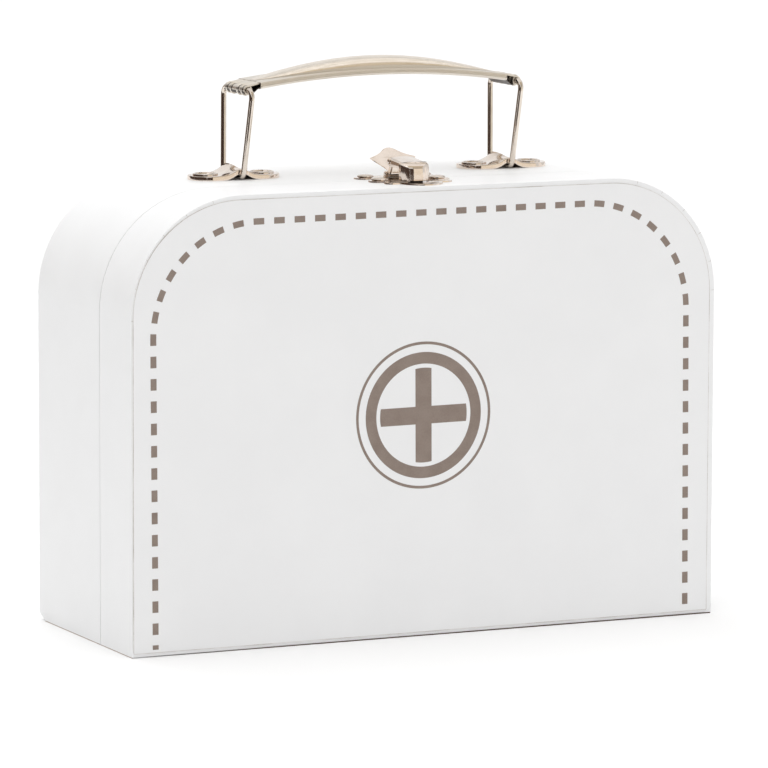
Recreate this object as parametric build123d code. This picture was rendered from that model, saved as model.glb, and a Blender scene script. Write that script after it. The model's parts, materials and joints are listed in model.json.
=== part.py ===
"""Toy doctor case: a cardboard suitcase with a paper hinge, a folding wire handle and a draw latch.

Frame, in millimetres: origin at the middle of the bottom, +X to the right, +Y to the back, +Z up.
The lid is the front tray and turns about the bottom edge of the seam.
"""
from build123d import *
from math import cos, radians, sin
import os

# Case
CASE_WIDTH = 250.0
CASE_HEIGHT = 176.0
CASE_DEPTH = 95.6
LID_DEPTH = 32.0
SEAM_GAP = 0.3
TOP_CORNER_RADIUS = 46.0
BOTTOM_CORNER_RADIUS = 3.5
SMALLEST_RADIUS = 0.4

# Board and paper
PANEL_BOARD = 2.0
WALL_BOARD = 1.6
WRAP_PAPER = 0.25
FACING_PAPER = 0.25
LINING_PAPER = 0.2
FACING_MARGIN = 1.7
WRAP_TURN_IN = 12.0
FLOOR_EDGE = 3.5
COVER_PAPER = 0.3
COVER_MARGIN = 2.0

# Neck collar, glued into the base and reaching into the lid
NECK_BOARD = 1.2
NECK_RUNNING_GAP = 0.35
NECK_REACH = 4.5
NECK_ROOT = 16.0
NECK_ABOVE_FLOOR = 5.0

# Rivets and washers
RIVET_SHANK_RADIUS = 1.5
RIVET_HOLE_CLEARANCE = 0.1
RIVET_TAIL_RADIUS = 2.2
RIVET_TAIL = 0.6
WASHER_RADIUS = 2.8
WASHER_THICKNESS = 0.5
HEAD_ROUNDING = 0.8
HALF_RIGHT_ANGLE = radians(45)

# Handle
HANDLE_X = 1.9
HANDLE_Y = 13.0
STRAP_MIDDLE_SETBACK = 20.7
HANDLE_HALF_SPAN = CASE_WIDTH / 2 - TOP_CORNER_RADIUS - STRAP_MIDDLE_SETBACK
WIRE_RADIUS = 1.1
WIRE_RUNNING_GAP = 0.15
WIRE_ABOVE_TOP = 0.3
WIRE_END_GAP = 0.4
BAIL_HEIGHT = 33.8
BAIL_FOOT_HALF = 9.8
BAIL_TOP_HALF = 14.2
BAIL_FOOT_BEND = 2.2
BAIL_TOP_BEND = 3.2
BAIL_LEAN = 3.5

STRAP_LENGTH = 36.2
STRAP_WIDTH = 14.5
STRAP_SHEET = 1.1
STRAP_RIVET_PITCH = 21.0
STRAP_RAMP = 2.6
STRAP_HEAD_RADIUS = 3.6
STRAP_HEAD_HEIGHT = 0.5

GRIP_WIDTH = 22.0
GRIP_SHEET = 0.8
GRIP_TAB_REACH = 4.9
GRIP_BODY_HALF = HANDLE_HALF_SPAN - GRIP_TAB_REACH
GRIP_TAB_WIDTH = 19.0
GRIP_LOWER_END = -1.8
GRIP_LOWER_MIDDLE = 4.3
GRIP_UPPER_END = 3.0
GRIP_UPPER_MIDDLE = 11.0
GRIP_CROWN_RADIUS = 3.0
KNUCKLE_LENGTH = 19.4
KNUCKLE_RUNNING_GAP = 0.15

# Latch: u is across, from the latch's middle; distances from the seam are positive to the back
LATCH_X = 2.3
PLATE_SHEET = 0.5
LATCH_RIVET_HALF = 12.9
LATCH_HEAD_RADIUS = 2.9
LATCH_HEAD_HEIGHT = 0.6
PLATE_LOBE_RADIUS = 4.3
BASE_RIVET_SETBACK = 5.6
BASE_PLATE_HALF = 9.0
BASE_PLATE_FRONT = 0.5
BASE_PLATE_BACK = 10.5
STRIKE_RIVET_SETBACK = -8.0
STRIKE_BLOCK_HALF = 10.5
STRIKE_BACK = -0.5
STRIKE_SIDE_LOBE = (11.4, -16.4, 3.0)
STRIKE_FRONT_LOBE_SETBACK = -19.0
STRIKE_FRONT_LOBE_RADIUS = 8.6

LEVER_PIN_SETBACK = 1.6
LEVER_PIN_HEIGHT = 1.9
LEVER_PIN_RADIUS = 0.7
PIN_RUNNING_GAP = 0.08
PIN_SEAT_GAP = 0.02
PIN_HEAD_RADIUS = 1.0
PIN_HEAD = 0.4
PIN_SIDE_GAP = 0.1
EAR_SHEET = 0.6
EAR_RADIUS = 1.3
EAR_INNER_HALF = 5.2
EAR_FOOT = 3.4
LEVER_SHEET = 0.6
LEVER_BASE_HALF = 4.9
LEVER_CREASE_HALF = 9.9
LEVER_STRAIGHT = 1.8
LEVER_RUNNING_GAP = 0.3
BILL_LENGTH = 8.0
BILL_ANGLE = 39.0
TONGUE_ANGLE = 29.0
TONGUE_SIDE = [(2.4, 5.8), (4.3, 3.7), (5.9, 2.2), (6.4, 1.0)]
CHEEK_OUTER_HALF = 4.3
CHEEK_RADIUS = 0.85

HOOK_PIN_SETBACK = -1.3
HOOK_PIN_HEIGHT = 7.0
HOOK_PIN_RADIUS = 0.45
HOOK_KNUCKLE_RADIUS = 1.6
HOOK_SHEET = 0.6
HOOK_REAR_HALF = 5.6
HOOK_NOSE_HALF = 5.2
HOOK_NOSE_SETBACK = -16.0
HOOK_TAPER_SETBACK = -9.0
HOOK_SKIRT_SETBACK = -11.5
HOOK_SKIRT_REAR_HEIGHT = 5.2
HOOK_NOSE_HEIGHT = 8.2
HOOK_NOSE_RADIUS = 1.6
HOOK_REST_GAP = 0.3
HOOK_MOUTH = 1.1
WINDOW_FREE_PLAY = 0.7
WINDOW_SKIRT_PLAY = 1.4
WINDOW_NOSE_LENGTH = 2.2
WINDOW_TONGUE_HALF = 2.8

# Places that follow from the sizes
FRONT_Y = -CASE_DEPTH / 2
BACK_Y = CASE_DEPTH / 2
SEAM_Y = FRONT_Y + LID_DEPTH
TOP_Z = CASE_HEIGHT
WALL_INSET = WRAP_PAPER + WALL_BOARD
LINING_INSET = WALL_INSET + LINING_PAPER
NECK_OUTER_INSET = LINING_INSET + NECK_RUNNING_GAP
NECK_INNER_INSET = NECK_OUTER_INSET + NECK_BOARD
WIRE_Z = TOP_Z + WIRE_ABOVE_TOP + WIRE_RADIUS
LEVER_PIN = (SEAM_Y + LEVER_PIN_SETBACK, TOP_Z + LEVER_PIN_HEIGHT)
HOOK_PIN = (SEAM_Y + HOOK_PIN_SETBACK, TOP_Z + HOOK_PIN_HEIGHT)
THROUGH = 20.0


def case_outline(inset):
    """The case's front outline, set in by a distance: round top corners and small bottom ones."""
    height = CASE_HEIGHT - COVER_PAPER - 2 * inset
    face = Rectangle(CASE_WIDTH - 2 * inset, height)
    bottom = face.vertices().group_by(Axis.Y)[0]
    face = fillet(bottom, max(BOTTOM_CORNER_RADIUS - inset, SMALLEST_RADIUS))
    top = face.vertices().group_by(Axis.Y)[-1]
    face = fillet(top, max(TOP_CORNER_RADIUS - inset, SMALLEST_RADIUS))
    return Plane.XZ * Pos(0, COVER_PAPER + inset + height / 2) * face


def slab(inset, y_start, y_end):
    """The case outline, set in, as a block between two depths in either order."""
    low, high = sorted((y_start, y_end))
    return Pos(0, low, 0) * extrude(case_outline(inset), amount=high - low, dir=(0, 1, 0))


def band(outer_inset, inner_inset, y_start, y_end):
    """A ring of board or paper between two insets."""
    return slab(outer_inset, y_start, y_end) - slab(inner_inset, y_start, y_end)


def block(x_range, y_range, z_range):
    """A box from its three ranges."""
    size = [high - low for low, high in (x_range, y_range, z_range)]
    middle = [(high + low) / 2 for low, high in (x_range, y_range, z_range)]
    return Pos(*middle) * Box(*size)


def upright_cylinder(x, y, radius, z_range):
    """A cylinder along Z between two heights."""
    low, high = z_range
    return Pos(x, y, (low + high) / 2) * Cylinder(radius, high - low)


def cross_cylinder(place, radius, x_range):
    """A cylinder along X through a (y, z) place."""
    low, high = x_range
    return Pos((low + high) / 2, *place) * Rot(0, 90, 0) * Cylinder(radius, high - low)


def across(face, half_width):
    """A face drawn with y and z as its coordinates, extruded both ways from the latch's middle."""
    return Pos(LATCH_X, 0, 0) * extrude(Plane.YZ * face, amount=half_width, both=True)


def level(face, z, height):
    """A face drawn with x and y as its coordinates, as a plate with its underside at z."""
    return Pos(0, 0, z) * extrude(face, amount=height)


def rivet_holes(places):
    """Cutters for a group of rivet shanks, through the top of the case."""
    radius = RIVET_SHANK_RADIUS + RIVET_HOLE_CLEARANCE
    return [upright_cylinder(x, y, radius, (TOP_Z - THROUGH, TOP_Z + THROUGH / 2)) for x, y in places]


def rivets(places, sheet, grip_inset, head_radius, head_height):
    """Rivets with low domed heads on a sheet and clenched tails behind washers."""
    solids = []
    for x, y in places:
        head = upright_cylinder(x, y, head_radius, (TOP_Z + sheet, TOP_Z + sheet + head_height))
        head = fillet(head.edges().group_by(Axis.Z)[-1], head_height * HEAD_ROUNDING)
        tail_top = TOP_Z - grip_inset - WASHER_THICKNESS
        shank = upright_cylinder(x, y, RIVET_SHANK_RADIUS, (tail_top - RIVET_TAIL, TOP_Z + sheet))
        tail = upright_cylinder(x, y, RIVET_TAIL_RADIUS, (tail_top - RIVET_TAIL, tail_top))
        solids.append(head + shank + tail)
    return Compound(children=solids)


def washers(places, grip_inset):
    """Washers that spread the rivets' load inside the case."""
    hole = RIVET_SHANK_RADIUS + RIVET_HOLE_CLEARANCE
    z_range = (TOP_Z - grip_inset - WASHER_THICKNESS, TOP_Z - grip_inset)
    return Compound(children=[
        upright_cylinder(x, y, WASHER_RADIUS, z_range) - upright_cylinder(x, y, hole, z_range)
        for x, y in places
    ])


class Tray:
    """One of the two trays: a panel, a bent wall band, a floor strip, papers and a hinge cover."""

    def __init__(self, name, face_y, seam_y, holes):
        self.name = name
        self.face_y = face_y
        self.seam_y = seam_y
        self.inward = 1 if seam_y > face_y else -1
        self.holes = holes
        self.wrap_y = face_y + self.inward * FACING_PAPER
        self.board_y = self.wrap_y + self.inward * WRAP_PAPER
        self.inside_y = self.board_y + self.inward * PANEL_BOARD
        self.rim_y = seam_y - self.inward * WRAP_PAPER

    def cut(self, solid):
        """The solid with the tray's rivet holes."""
        for hole in self.holes:
            solid -= hole
        return solid

    def facing(self):
        """The sheet on the panel's outside, set in from the edges."""
        return slab(FACING_MARGIN, self.face_y, self.wrap_y)

    def wrap(self):
        """The wrap paper: round the walls, turned in over the panel and over the rim."""
        paper = slab(0, self.wrap_y, self.seam_y) - slab(WRAP_PAPER, self.board_y, self.rim_y)
        paper -= slab(WRAP_TURN_IN, self.wrap_y, self.board_y)
        paper -= slab(WALL_INSET, self.rim_y, self.seam_y)
        return self.cut(paper)

    def panel(self):
        """The flat board."""
        return slab(WRAP_PAPER, self.board_y, self.inside_y)

    def wall_and_floor(self):
        """The bent wall band and the floor strip that closes it, which butt at the floor's edge."""
        ring = band(WRAP_PAPER, WALL_INSET, self.inside_y, self.rim_y)
        split = block((-CASE_WIDTH, CASE_WIDTH), (-CASE_DEPTH, CASE_DEPTH),
                      (-CASE_HEIGHT, COVER_PAPER + WRAP_PAPER + FLOOR_EDGE))
        return self.cut(ring - split), ring & split

    def lining(self):
        """The paper tray inside the boards."""
        tray = slab(WALL_INSET, self.inside_y, self.seam_y)
        tray -= slab(LINING_INSET, self.inside_y + self.inward * LINING_PAPER, self.seam_y)
        return self.cut(tray)

    def hinge_cover(self, hinge_y):
        """The tray's half of the bottom sheet, from the hinge line to near the outer face."""
        outer_y = self.face_y + self.inward * COVER_MARGIN
        half = CASE_WIDTH / 2 - COVER_MARGIN
        return block((-half, half), sorted((hinge_y, outer_y)), (0, COVER_PAPER))

    def nodes(self, panel_name, hinge_y):
        """The tray's pieces by node name."""
        wall, floor = self.wall_and_floor()
        return {
            panel_name + "_facing": self.facing(),
            panel_name + "_panel": self.panel(),
            self.name + "_wrap": self.wrap(),
            self.name + "_wall": wall,
            self.name + "_floor": floor,
            self.name + "_lining": self.lining(),
            "hinge_cover_" + self.name: self.hinge_cover(hinge_y),
        }


def neck_collar(holes):
    """The inner collar: glued to the base's lining, set back by the running gap inside the lid."""
    seam_y = SEAM_Y + SEAM_GAP / 2
    root = band(LINING_INSET, NECK_INNER_INSET, seam_y, SEAM_Y + NECK_ROOT)
    neck = band(NECK_OUTER_INSET, NECK_INNER_INSET, SEAM_Y - NECK_REACH, seam_y)
    clear = block((-CASE_WIDTH, CASE_WIDTH), (-CASE_DEPTH, CASE_DEPTH),
                  (-CASE_HEIGHT, LINING_INSET + NECK_ABOVE_FLOOR))
    collar = root + neck - clear
    for hole in holes:
        collar -= hole
    return collar


def strap(middle_x, holes):
    """A handle strap: two round-ended feet and a hump over the bail's foot."""
    inner = WIRE_RADIUS + WIRE_RUNNING_GAP
    outer = inner + STRAP_SHEET
    plan = Pos(middle_x, HANDLE_Y) * SlotOverall(STRAP_LENGTH, STRAP_WIDTH)
    wire_height = WIRE_Z - TOP_Z
    shoulder = outer * sin(HALF_RIGHT_ANGLE)
    hump = Circle(outer) + Polygon((-outer - STRAP_RAMP, -wire_height), (outer + STRAP_RAMP, -wire_height),
                                   (shoulder, shoulder), (-shoulder, shoulder), align=None)
    foot = Pos(0, STRAP_SHEET / 2 - wire_height) * Rectangle(STRAP_LENGTH, STRAP_SHEET)
    tunnel = Circle(inner) + Pos(0, -wire_height / 2) * Rectangle(2 * inner, wire_height)
    above_top = Pos(0, THROUGH / 2 - wire_height) * Rectangle(2 * STRAP_LENGTH, THROUGH)
    profile = Pos(middle_x, WIRE_Z) * (((hump + foot) & above_top) - tunnel)
    length = extrude(Plane.XZ * profile, amount=STRAP_WIDTH / 2, both=True)
    solid = (Pos(0, HANDLE_Y, 0) * length) & level(plan, TOP_Z, THROUGH)
    for hole in holes:
        solid -= hole
    return solid


def bail(middle_x):
    """A bent wire loop, its ends meeting under the strap's hump, leaning about its foot."""
    end = WIRE_END_GAP / 2
    corners = [(end, 0), (BAIL_FOOT_HALF, 0), (BAIL_TOP_HALF, BAIL_HEIGHT),
               (-BAIL_TOP_HALF, BAIL_HEIGHT), (-BAIL_FOOT_HALF, 0), (-end, 0)]
    points = [(0, y, z) for y, z in corners]
    path = FilletPolyline(*points, radius=[BAIL_FOOT_BEND, BAIL_TOP_BEND, BAIL_TOP_BEND, BAIL_FOOT_BEND])
    section = Plane(origin=points[0], z_dir=(0, 1, 0)) * Circle(WIRE_RADIUS)
    return Pos(middle_x, HANDLE_Y, WIRE_Z) * Rot(0, BAIL_LEAN, 0) * sweep(section, path=path)


def arched_face(half_length, lower_end, lower_middle, upper_end, upper_middle):
    """A side view bounded by two arcs, in x and z."""
    lower = ThreePointArc((-half_length, lower_end), (0, lower_middle), (half_length, lower_end))
    right = Line((half_length, lower_end), (half_length, upper_end))
    upper = ThreePointArc((half_length, upper_end), (0, upper_middle), (-half_length, upper_end))
    left = Line((-half_length, upper_end), (-half_length, lower_end))
    return make_face([lower, right, upper, left])


def along_grip(face, width):
    """A side view extruded both ways across the grip."""
    return extrude(Plane.XZ * face, amount=width / 2, both=True)


def grip():
    """The stamped grip: an arched channel, open below, with tabs rolled round the bails' top wires."""
    sheet = GRIP_SHEET
    body = along_grip(arched_face(GRIP_BODY_HALF, GRIP_LOWER_END, GRIP_LOWER_MIDDLE,
                                  GRIP_UPPER_END, GRIP_UPPER_MIDDLE), GRIP_WIDTH)
    long_edges = body.edges().filter_by(GeomType.CIRCLE).group_by(Axis.Z)[-1]
    body = fillet(long_edges, GRIP_CROWN_RADIUS)
    hollow = along_grip(arched_face(GRIP_BODY_HALF - sheet, GRIP_LOWER_END - THROUGH, GRIP_LOWER_MIDDLE - THROUGH,
                                    GRIP_UPPER_END - sheet, GRIP_UPPER_MIDDLE - sheet), GRIP_WIDTH - 2 * sheet)
    hollow = fillet(hollow.edges().filter_by(GeomType.CIRCLE).group_by(Axis.Z)[-1], GRIP_CROWN_RADIUS - sheet)
    solid = body - hollow
    bore = WIRE_RADIUS + KNUCKLE_RUNNING_GAP
    roll = bore + sheet
    for side in (-1, 1):
        start, end = side * (GRIP_BODY_HALF - sheet), side * HANDLE_HALF_SPAN
        tab = Polygon((start, GRIP_UPPER_END - sheet), (end, roll - sheet), (end, roll),
                      (start, GRIP_UPPER_END), align=None)
        solid += along_grip(tab, GRIP_TAB_WIDTH) + along_grip(Pos(end, 0) * Circle(roll), KNUCKLE_LENGTH)
        solid -= along_grip(Pos(end, 0) * Circle(bore), GRIP_WIDTH)
    lean = radians(BAIL_LEAN)
    return Pos(HANDLE_X + BAIL_HEIGHT * sin(lean), HANDLE_Y, WIRE_Z + BAIL_HEIGHT * cos(lean)) * solid


def plan_at_seam(shape, across_x=0.0, setback=0.0):
    """A flat shape placed by its distance from the latch's middle and from the seam."""
    return Pos(LATCH_X + across_x, SEAM_Y + setback) * shape


def latch_base_plate(places, holes):
    """The plate on the base, with two round ears for the lever's pin."""
    middle = (BASE_PLATE_FRONT + BASE_PLATE_BACK) / 2
    plan = plan_at_seam(Rectangle(2 * BASE_PLATE_HALF, BASE_PLATE_BACK - BASE_PLATE_FRONT), 0, middle)
    for x, y in places:
        plan += Pos(x, y) * Circle(PLATE_LOBE_RADIUS)
        plan += Pos((x + LATCH_X) / 2, y) * Rectangle(abs(x - LATCH_X), 2 * PLATE_LOBE_RADIUS)
    plate = level(plan, TOP_Z, PLATE_SHEET)
    y, z = LEVER_PIN
    barrel = LEVER_PIN_RADIUS + PIN_RUNNING_GAP + LEVER_SHEET + LEVER_RUNNING_GAP
    plate -= block((LATCH_X - EAR_INNER_HALF, LATCH_X + EAR_INNER_HALF), (SEAM_Y, y + barrel),
                   (TOP_Z, TOP_Z + PLATE_SHEET))
    shoulder = EAR_RADIUS * sin(HALF_RIGHT_ANGLE)
    foot = Polygon((SEAM_Y + BASE_PLATE_FRONT, TOP_Z), (y + EAR_FOOT, TOP_Z),
                   (y + shoulder, z + shoulder), (y - shoulder, z + shoulder), align=None)
    ear = across(Pos(y, z) * Circle(EAR_RADIUS) + foot, EAR_INNER_HALF + EAR_SHEET)
    plate += ear - across(Pos(y, z) * Rectangle(THROUGH, THROUGH), EAR_INNER_HALF)
    plate -= cross_cylinder((y, z), LEVER_PIN_RADIUS + PIN_SEAT_GAP,
                            (LATCH_X - THROUGH, LATCH_X + THROUGH))
    for hole in holes:
        plate -= hole
    return plate


def hook_half_width(setback):
    """Half of the hook's outside width at a distance from the seam."""
    if setback >= HOOK_TAPER_SETBACK:
        return HOOK_REAR_HALF
    share = (HOOK_TAPER_SETBACK - setback) / (HOOK_TAPER_SETBACK - HOOK_NOSE_SETBACK)
    return HOOK_REAR_HALF + share * (HOOK_NOSE_HALF - HOOK_REAR_HALF)


def strike_plate(places, holes):
    """The scalloped plate on the lid, with a window for the hook's nose and skirts."""
    length = STRIKE_BACK - STRIKE_FRONT_LOBE_SETBACK
    middle = (STRIKE_BACK + STRIKE_FRONT_LOBE_SETBACK) / 2
    plan = plan_at_seam(Rectangle(2 * STRIKE_BLOCK_HALF, length), 0, middle)
    plan += plan_at_seam(Circle(STRIKE_FRONT_LOBE_RADIUS), 0, STRIKE_FRONT_LOBE_SETBACK)
    lobe_half, lobe_setback, lobe_radius = STRIKE_SIDE_LOBE
    for side in (-1, 1):
        plan += plan_at_seam(Circle(lobe_radius), side * lobe_half, lobe_setback)
    for x, y in places:
        plan += Pos(x, y) * Circle(PLATE_LOBE_RADIUS)
    front = HOOK_NOSE_SETBACK - WINDOW_FREE_PLAY
    back = HOOK_SKIRT_SETBACK + WINDOW_SKIRT_PLAY
    front_half = hook_half_width(front) + WINDOW_FREE_PLAY
    back_half = hook_half_width(back) + WINDOW_FREE_PLAY
    window = plan_at_seam(Polygon((-front_half, front), (front_half, front), (back_half, back), (-back_half, back),
                                  align=None))
    tongue_front = front + WINDOW_NOSE_LENGTH
    tongue = plan_at_seam(Rectangle(2 * WINDOW_TONGUE_HALF, back - tongue_front), 0, (back + tongue_front) / 2)
    plate = level(plan - (window - tongue), TOP_Z, PLATE_SHEET)
    for hole in holes:
        plate -= hole
    return plate


def pin(place, radius, half_length):
    """A headed cross pin."""
    low, high = LATCH_X - half_length, LATCH_X + half_length
    shaft = cross_cylinder(place, radius, (low, high))
    for start, end in ((low - PIN_HEAD, low), (high, high + PIN_HEAD)):
        shaft += cross_cylinder(place, PIN_HEAD_RADIUS, (start, end))
    return shaft


def sloped_plate(start, angle, outline, thickness):
    """A plate of the latch: u across and v up a slope that starts at a (y, z) place."""
    tilt = radians(angle)
    slope = Plane(origin=(LATCH_X, *start), x_dir=(1, 0, 0), z_dir=(0, -sin(tilt), cos(tilt)))
    return extrude(slope * Polygon(*outline, align=None), amount=thickness)


def both_sides(side):
    """A symmetric outline in (u, v) from its right side, given as (v, half width) points."""
    return [(half, v) for v, half in side] + [(-half, v) for v, half in reversed(side)]


def latch_lever():
    """The duck-bill lever: a barrel on the pin, a flared bill, a narrowing tongue and two cheeks."""
    y, z = LEVER_PIN
    bore = LEVER_PIN_RADIUS + PIN_RUNNING_GAP
    ends = (LATCH_X - LEVER_BASE_HALF, LATCH_X + LEVER_BASE_HALF)
    tilt = radians(BILL_ANGLE)
    start = (y - sin(tilt) * bore, z + cos(tilt) * bore)
    bill_side = [(0, LEVER_BASE_HALF), (LEVER_STRAIGHT, LEVER_BASE_HALF), (BILL_LENGTH, LEVER_CREASE_HALF)]
    bill = sloped_plate(start, BILL_ANGLE, both_sides(bill_side), LEVER_SHEET)
    crease = (start[0] + cos(tilt) * BILL_LENGTH, start[1] + sin(tilt) * BILL_LENGTH)
    tongue = sloped_plate(crease, TONGUE_ANGLE, both_sides([(0, LEVER_CREASE_HALF)] + TONGUE_SIDE), LEVER_SHEET)
    turn = LEVER_SHEET * sin(radians(BILL_ANGLE - TONGUE_ANGLE))
    tongue += sloped_plate(crease, TONGUE_ANGLE, both_sides([(-turn, LEVER_CREASE_HALF), (0, LEVER_CREASE_HALF)]),
                           LEVER_SHEET)
    solid = cross_cylinder(LEVER_PIN, bore + LEVER_SHEET, ends) + bill + tongue
    hook_y, hook_z = HOOK_PIN
    run, rise = hook_y - y, hook_z - z
    length = (run * run + rise * rise) ** 0.5
    side_y, side_z = CHEEK_RADIUS * rise / length, -CHEEK_RADIUS * run / length
    web = Polygon((y - side_y, z - side_z), (y + side_y, z + side_z), (hook_y + side_y, hook_z + side_z),
                  (hook_y - side_y, hook_z - side_z), align=None)
    cheek = across(web + Pos(hook_y, hook_z) * Circle(CHEEK_RADIUS), CHEEK_OUTER_HALF)
    cheek -= across(Pos(y, z) * Rectangle(THROUGH, THROUGH), CHEEK_OUTER_HALF - LEVER_SHEET)
    solid += cheek
    solid -= cross_cylinder(LEVER_PIN, bore, (LATCH_X - THROUGH, LATCH_X + THROUGH))
    solid -= cross_cylinder(HOOK_PIN, HOOK_PIN_RADIUS + PIN_SEAT_GAP, (LATCH_X - THROUGH, LATCH_X + THROUGH))
    return solid


def hook_side(inset):
    """The hook's side view, set in by a sheet's thickness or not."""
    nose = SEAM_Y + HOOK_NOSE_SETBACK + inset
    skirt = SEAM_Y + HOOK_SKIRT_SETBACK
    bottom = TOP_Z + PLATE_SHEET + HOOK_REST_GAP
    y, z = HOOK_PIN
    top = z + HOOK_KNUCKLE_RADIUS - inset
    face = Polygon((nose, bottom), (skirt, bottom), (skirt, TOP_Z + HOOK_SKIRT_REAR_HEIGHT),
                   (y, z - HOOK_KNUCKLE_RADIUS), (y, top), (nose, TOP_Z + HOOK_NOSE_HEIGHT - inset), align=None)
    corner = face.vertices().sort_by_distance((nose, TOP_Z + HOOK_NOSE_HEIGHT - inset))[0]
    face = fillet(corner, HOOK_NOSE_RADIUS - inset)
    if inset == 0:
        face += Pos(y, z) * Circle(HOOK_KNUCKLE_RADIUS)
    return face


def hook_plan(inset):
    """The hook's outline from above, set in by a sheet's thickness or not, as a tall block."""
    back = HOOK_PIN_SETBACK + 2 * HOOK_KNUCKLE_RADIUS
    setbacks = (HOOK_NOSE_SETBACK, HOOK_TAPER_SETBACK, back)
    right = [(hook_half_width(s) - inset, s) for s in setbacks]
    left = [(-x, s) for x, s in reversed(right)]
    return level(plan_at_seam(Polygon(*right, *left, align=None)), TOP_Z, THROUGH)


def latch_hook():
    """The hook: a tapered cap with skirts and a turned-down nose, on its pin."""
    outer = across(hook_side(0), HOOK_REAR_HALF) & hook_plan(0)
    y, z = HOOK_PIN
    inner_face = hook_side(HOOK_SHEET) + Pos(SEAM_Y + HOOK_NOSE_SETBACK / 2, TOP_Z) * Rectangle(
        -HOOK_NOSE_SETBACK - 2 * HOOK_SHEET, 2 * HOOK_MOUTH)
    knuckle = 2 * HOOK_KNUCKLE_RADIUS
    rear = Pos(y + knuckle / 2, z) * Rectangle(knuckle, 2 * knuckle)
    below = Pos(y - knuckle / 2, z - knuckle / 2) * Rectangle(2 * knuckle, knuckle)
    inner = across(inner_face + rear + below, HOOK_REAR_HALF) & hook_plan(HOOK_SHEET)
    solid = outer - inner
    return solid - cross_cylinder(HOOK_PIN, HOOK_PIN_RADIUS + PIN_RUNNING_GAP,
                                  (LATCH_X - THROUGH, LATCH_X + THROUGH))


def pair(half, y):
    """Two rivet places, left and right of the latch's middle."""
    return [(LATCH_X - half, y), (LATCH_X + half, y)]


def build():
    """All nodes by name."""
    strike_places = pair(LATCH_RIVET_HALF, SEAM_Y + STRIKE_RIVET_SETBACK)
    latch_places = pair(LATCH_RIVET_HALF, SEAM_Y + BASE_RIVET_SETBACK)
    strap_middles = {"left": HANDLE_X - HANDLE_HALF_SPAN, "right": HANDLE_X + HANDLE_HALF_SPAN}
    strap_places = {
        side: [(x - STRAP_RIVET_PITCH / 2, HANDLE_Y), (x + STRAP_RIVET_PITCH / 2, HANDLE_Y)]
        for side, x in strap_middles.items()
    }
    strike_holes = rivet_holes(strike_places)
    latch_holes = rivet_holes(latch_places)
    strap_holes = {side: rivet_holes(places) for side, places in strap_places.items()}
    base_holes = latch_holes + strap_holes["left"] + strap_holes["right"]

    lid = Tray("lid", FRONT_Y, SEAM_Y - SEAM_GAP / 2, strike_holes)
    base = Tray("base", BACK_Y, SEAM_Y + SEAM_GAP / 2, base_holes)
    nodes = {**lid.nodes("front", SEAM_Y), **base.nodes("back", SEAM_Y)}
    nodes["neck_collar"] = neck_collar(latch_holes)

    nodes["strike_plate"] = strike_plate(strike_places, strike_holes)
    nodes["strike_rivets"] = rivets(strike_places, PLATE_SHEET, LINING_INSET, LATCH_HEAD_RADIUS, LATCH_HEAD_HEIGHT)
    nodes["strike_washers"] = washers(strike_places, LINING_INSET)
    nodes["latch_base_plate"] = latch_base_plate(latch_places, latch_holes)
    nodes["latch_base_rivets"] = rivets(latch_places, PLATE_SHEET, NECK_INNER_INSET, LATCH_HEAD_RADIUS,
                                        LATCH_HEAD_HEIGHT)
    nodes["latch_base_washers"] = washers(latch_places, NECK_INNER_INSET)
    nodes["lever_pin"] = pin(LEVER_PIN, LEVER_PIN_RADIUS, EAR_INNER_HALF + EAR_SHEET)
    nodes["latch_lever"] = latch_lever()
    nodes["hook_pin"] = pin(HOOK_PIN, HOOK_PIN_RADIUS, HOOK_REAR_HALF + PIN_SIDE_GAP)
    nodes["latch_hook"] = latch_hook()

    for side, x in strap_middles.items():
        nodes["strap_" + side] = strap(x, strap_holes[side])
        nodes["strap_rivets_" + side] = rivets(strap_places[side], STRAP_SHEET, LINING_INSET, STRAP_HEAD_RADIUS,
                                               STRAP_HEAD_HEIGHT)
        nodes["strap_washers_" + side] = washers(strap_places[side], LINING_INSET)
        nodes["bail_" + side] = bail(x)
    nodes["grip"] = grip()
    return nodes


os.makedirs("parts", exist_ok=True)
for node_name, shape in build().items():
    export_step(shape, f"parts/{node_name}.step")
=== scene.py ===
"""A toy doctor case: paper-covered board, a printed front, a stamped folding handle and a draw latch.

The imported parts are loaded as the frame. Each class below builds one sub-assembly around them. Sizes are in
millimetres, in the part's own frame: +X to the right, +Y to the back, +Z up, with the origin under the middle
of the case.
"""
from __future__ import annotations

import json
import logging
import math
import random
from dataclasses import dataclass, field
from enum import Enum
from typing import Optional, Sequence, Union

import bmesh
import bpy
from mathutils import Matrix, Vector

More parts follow.
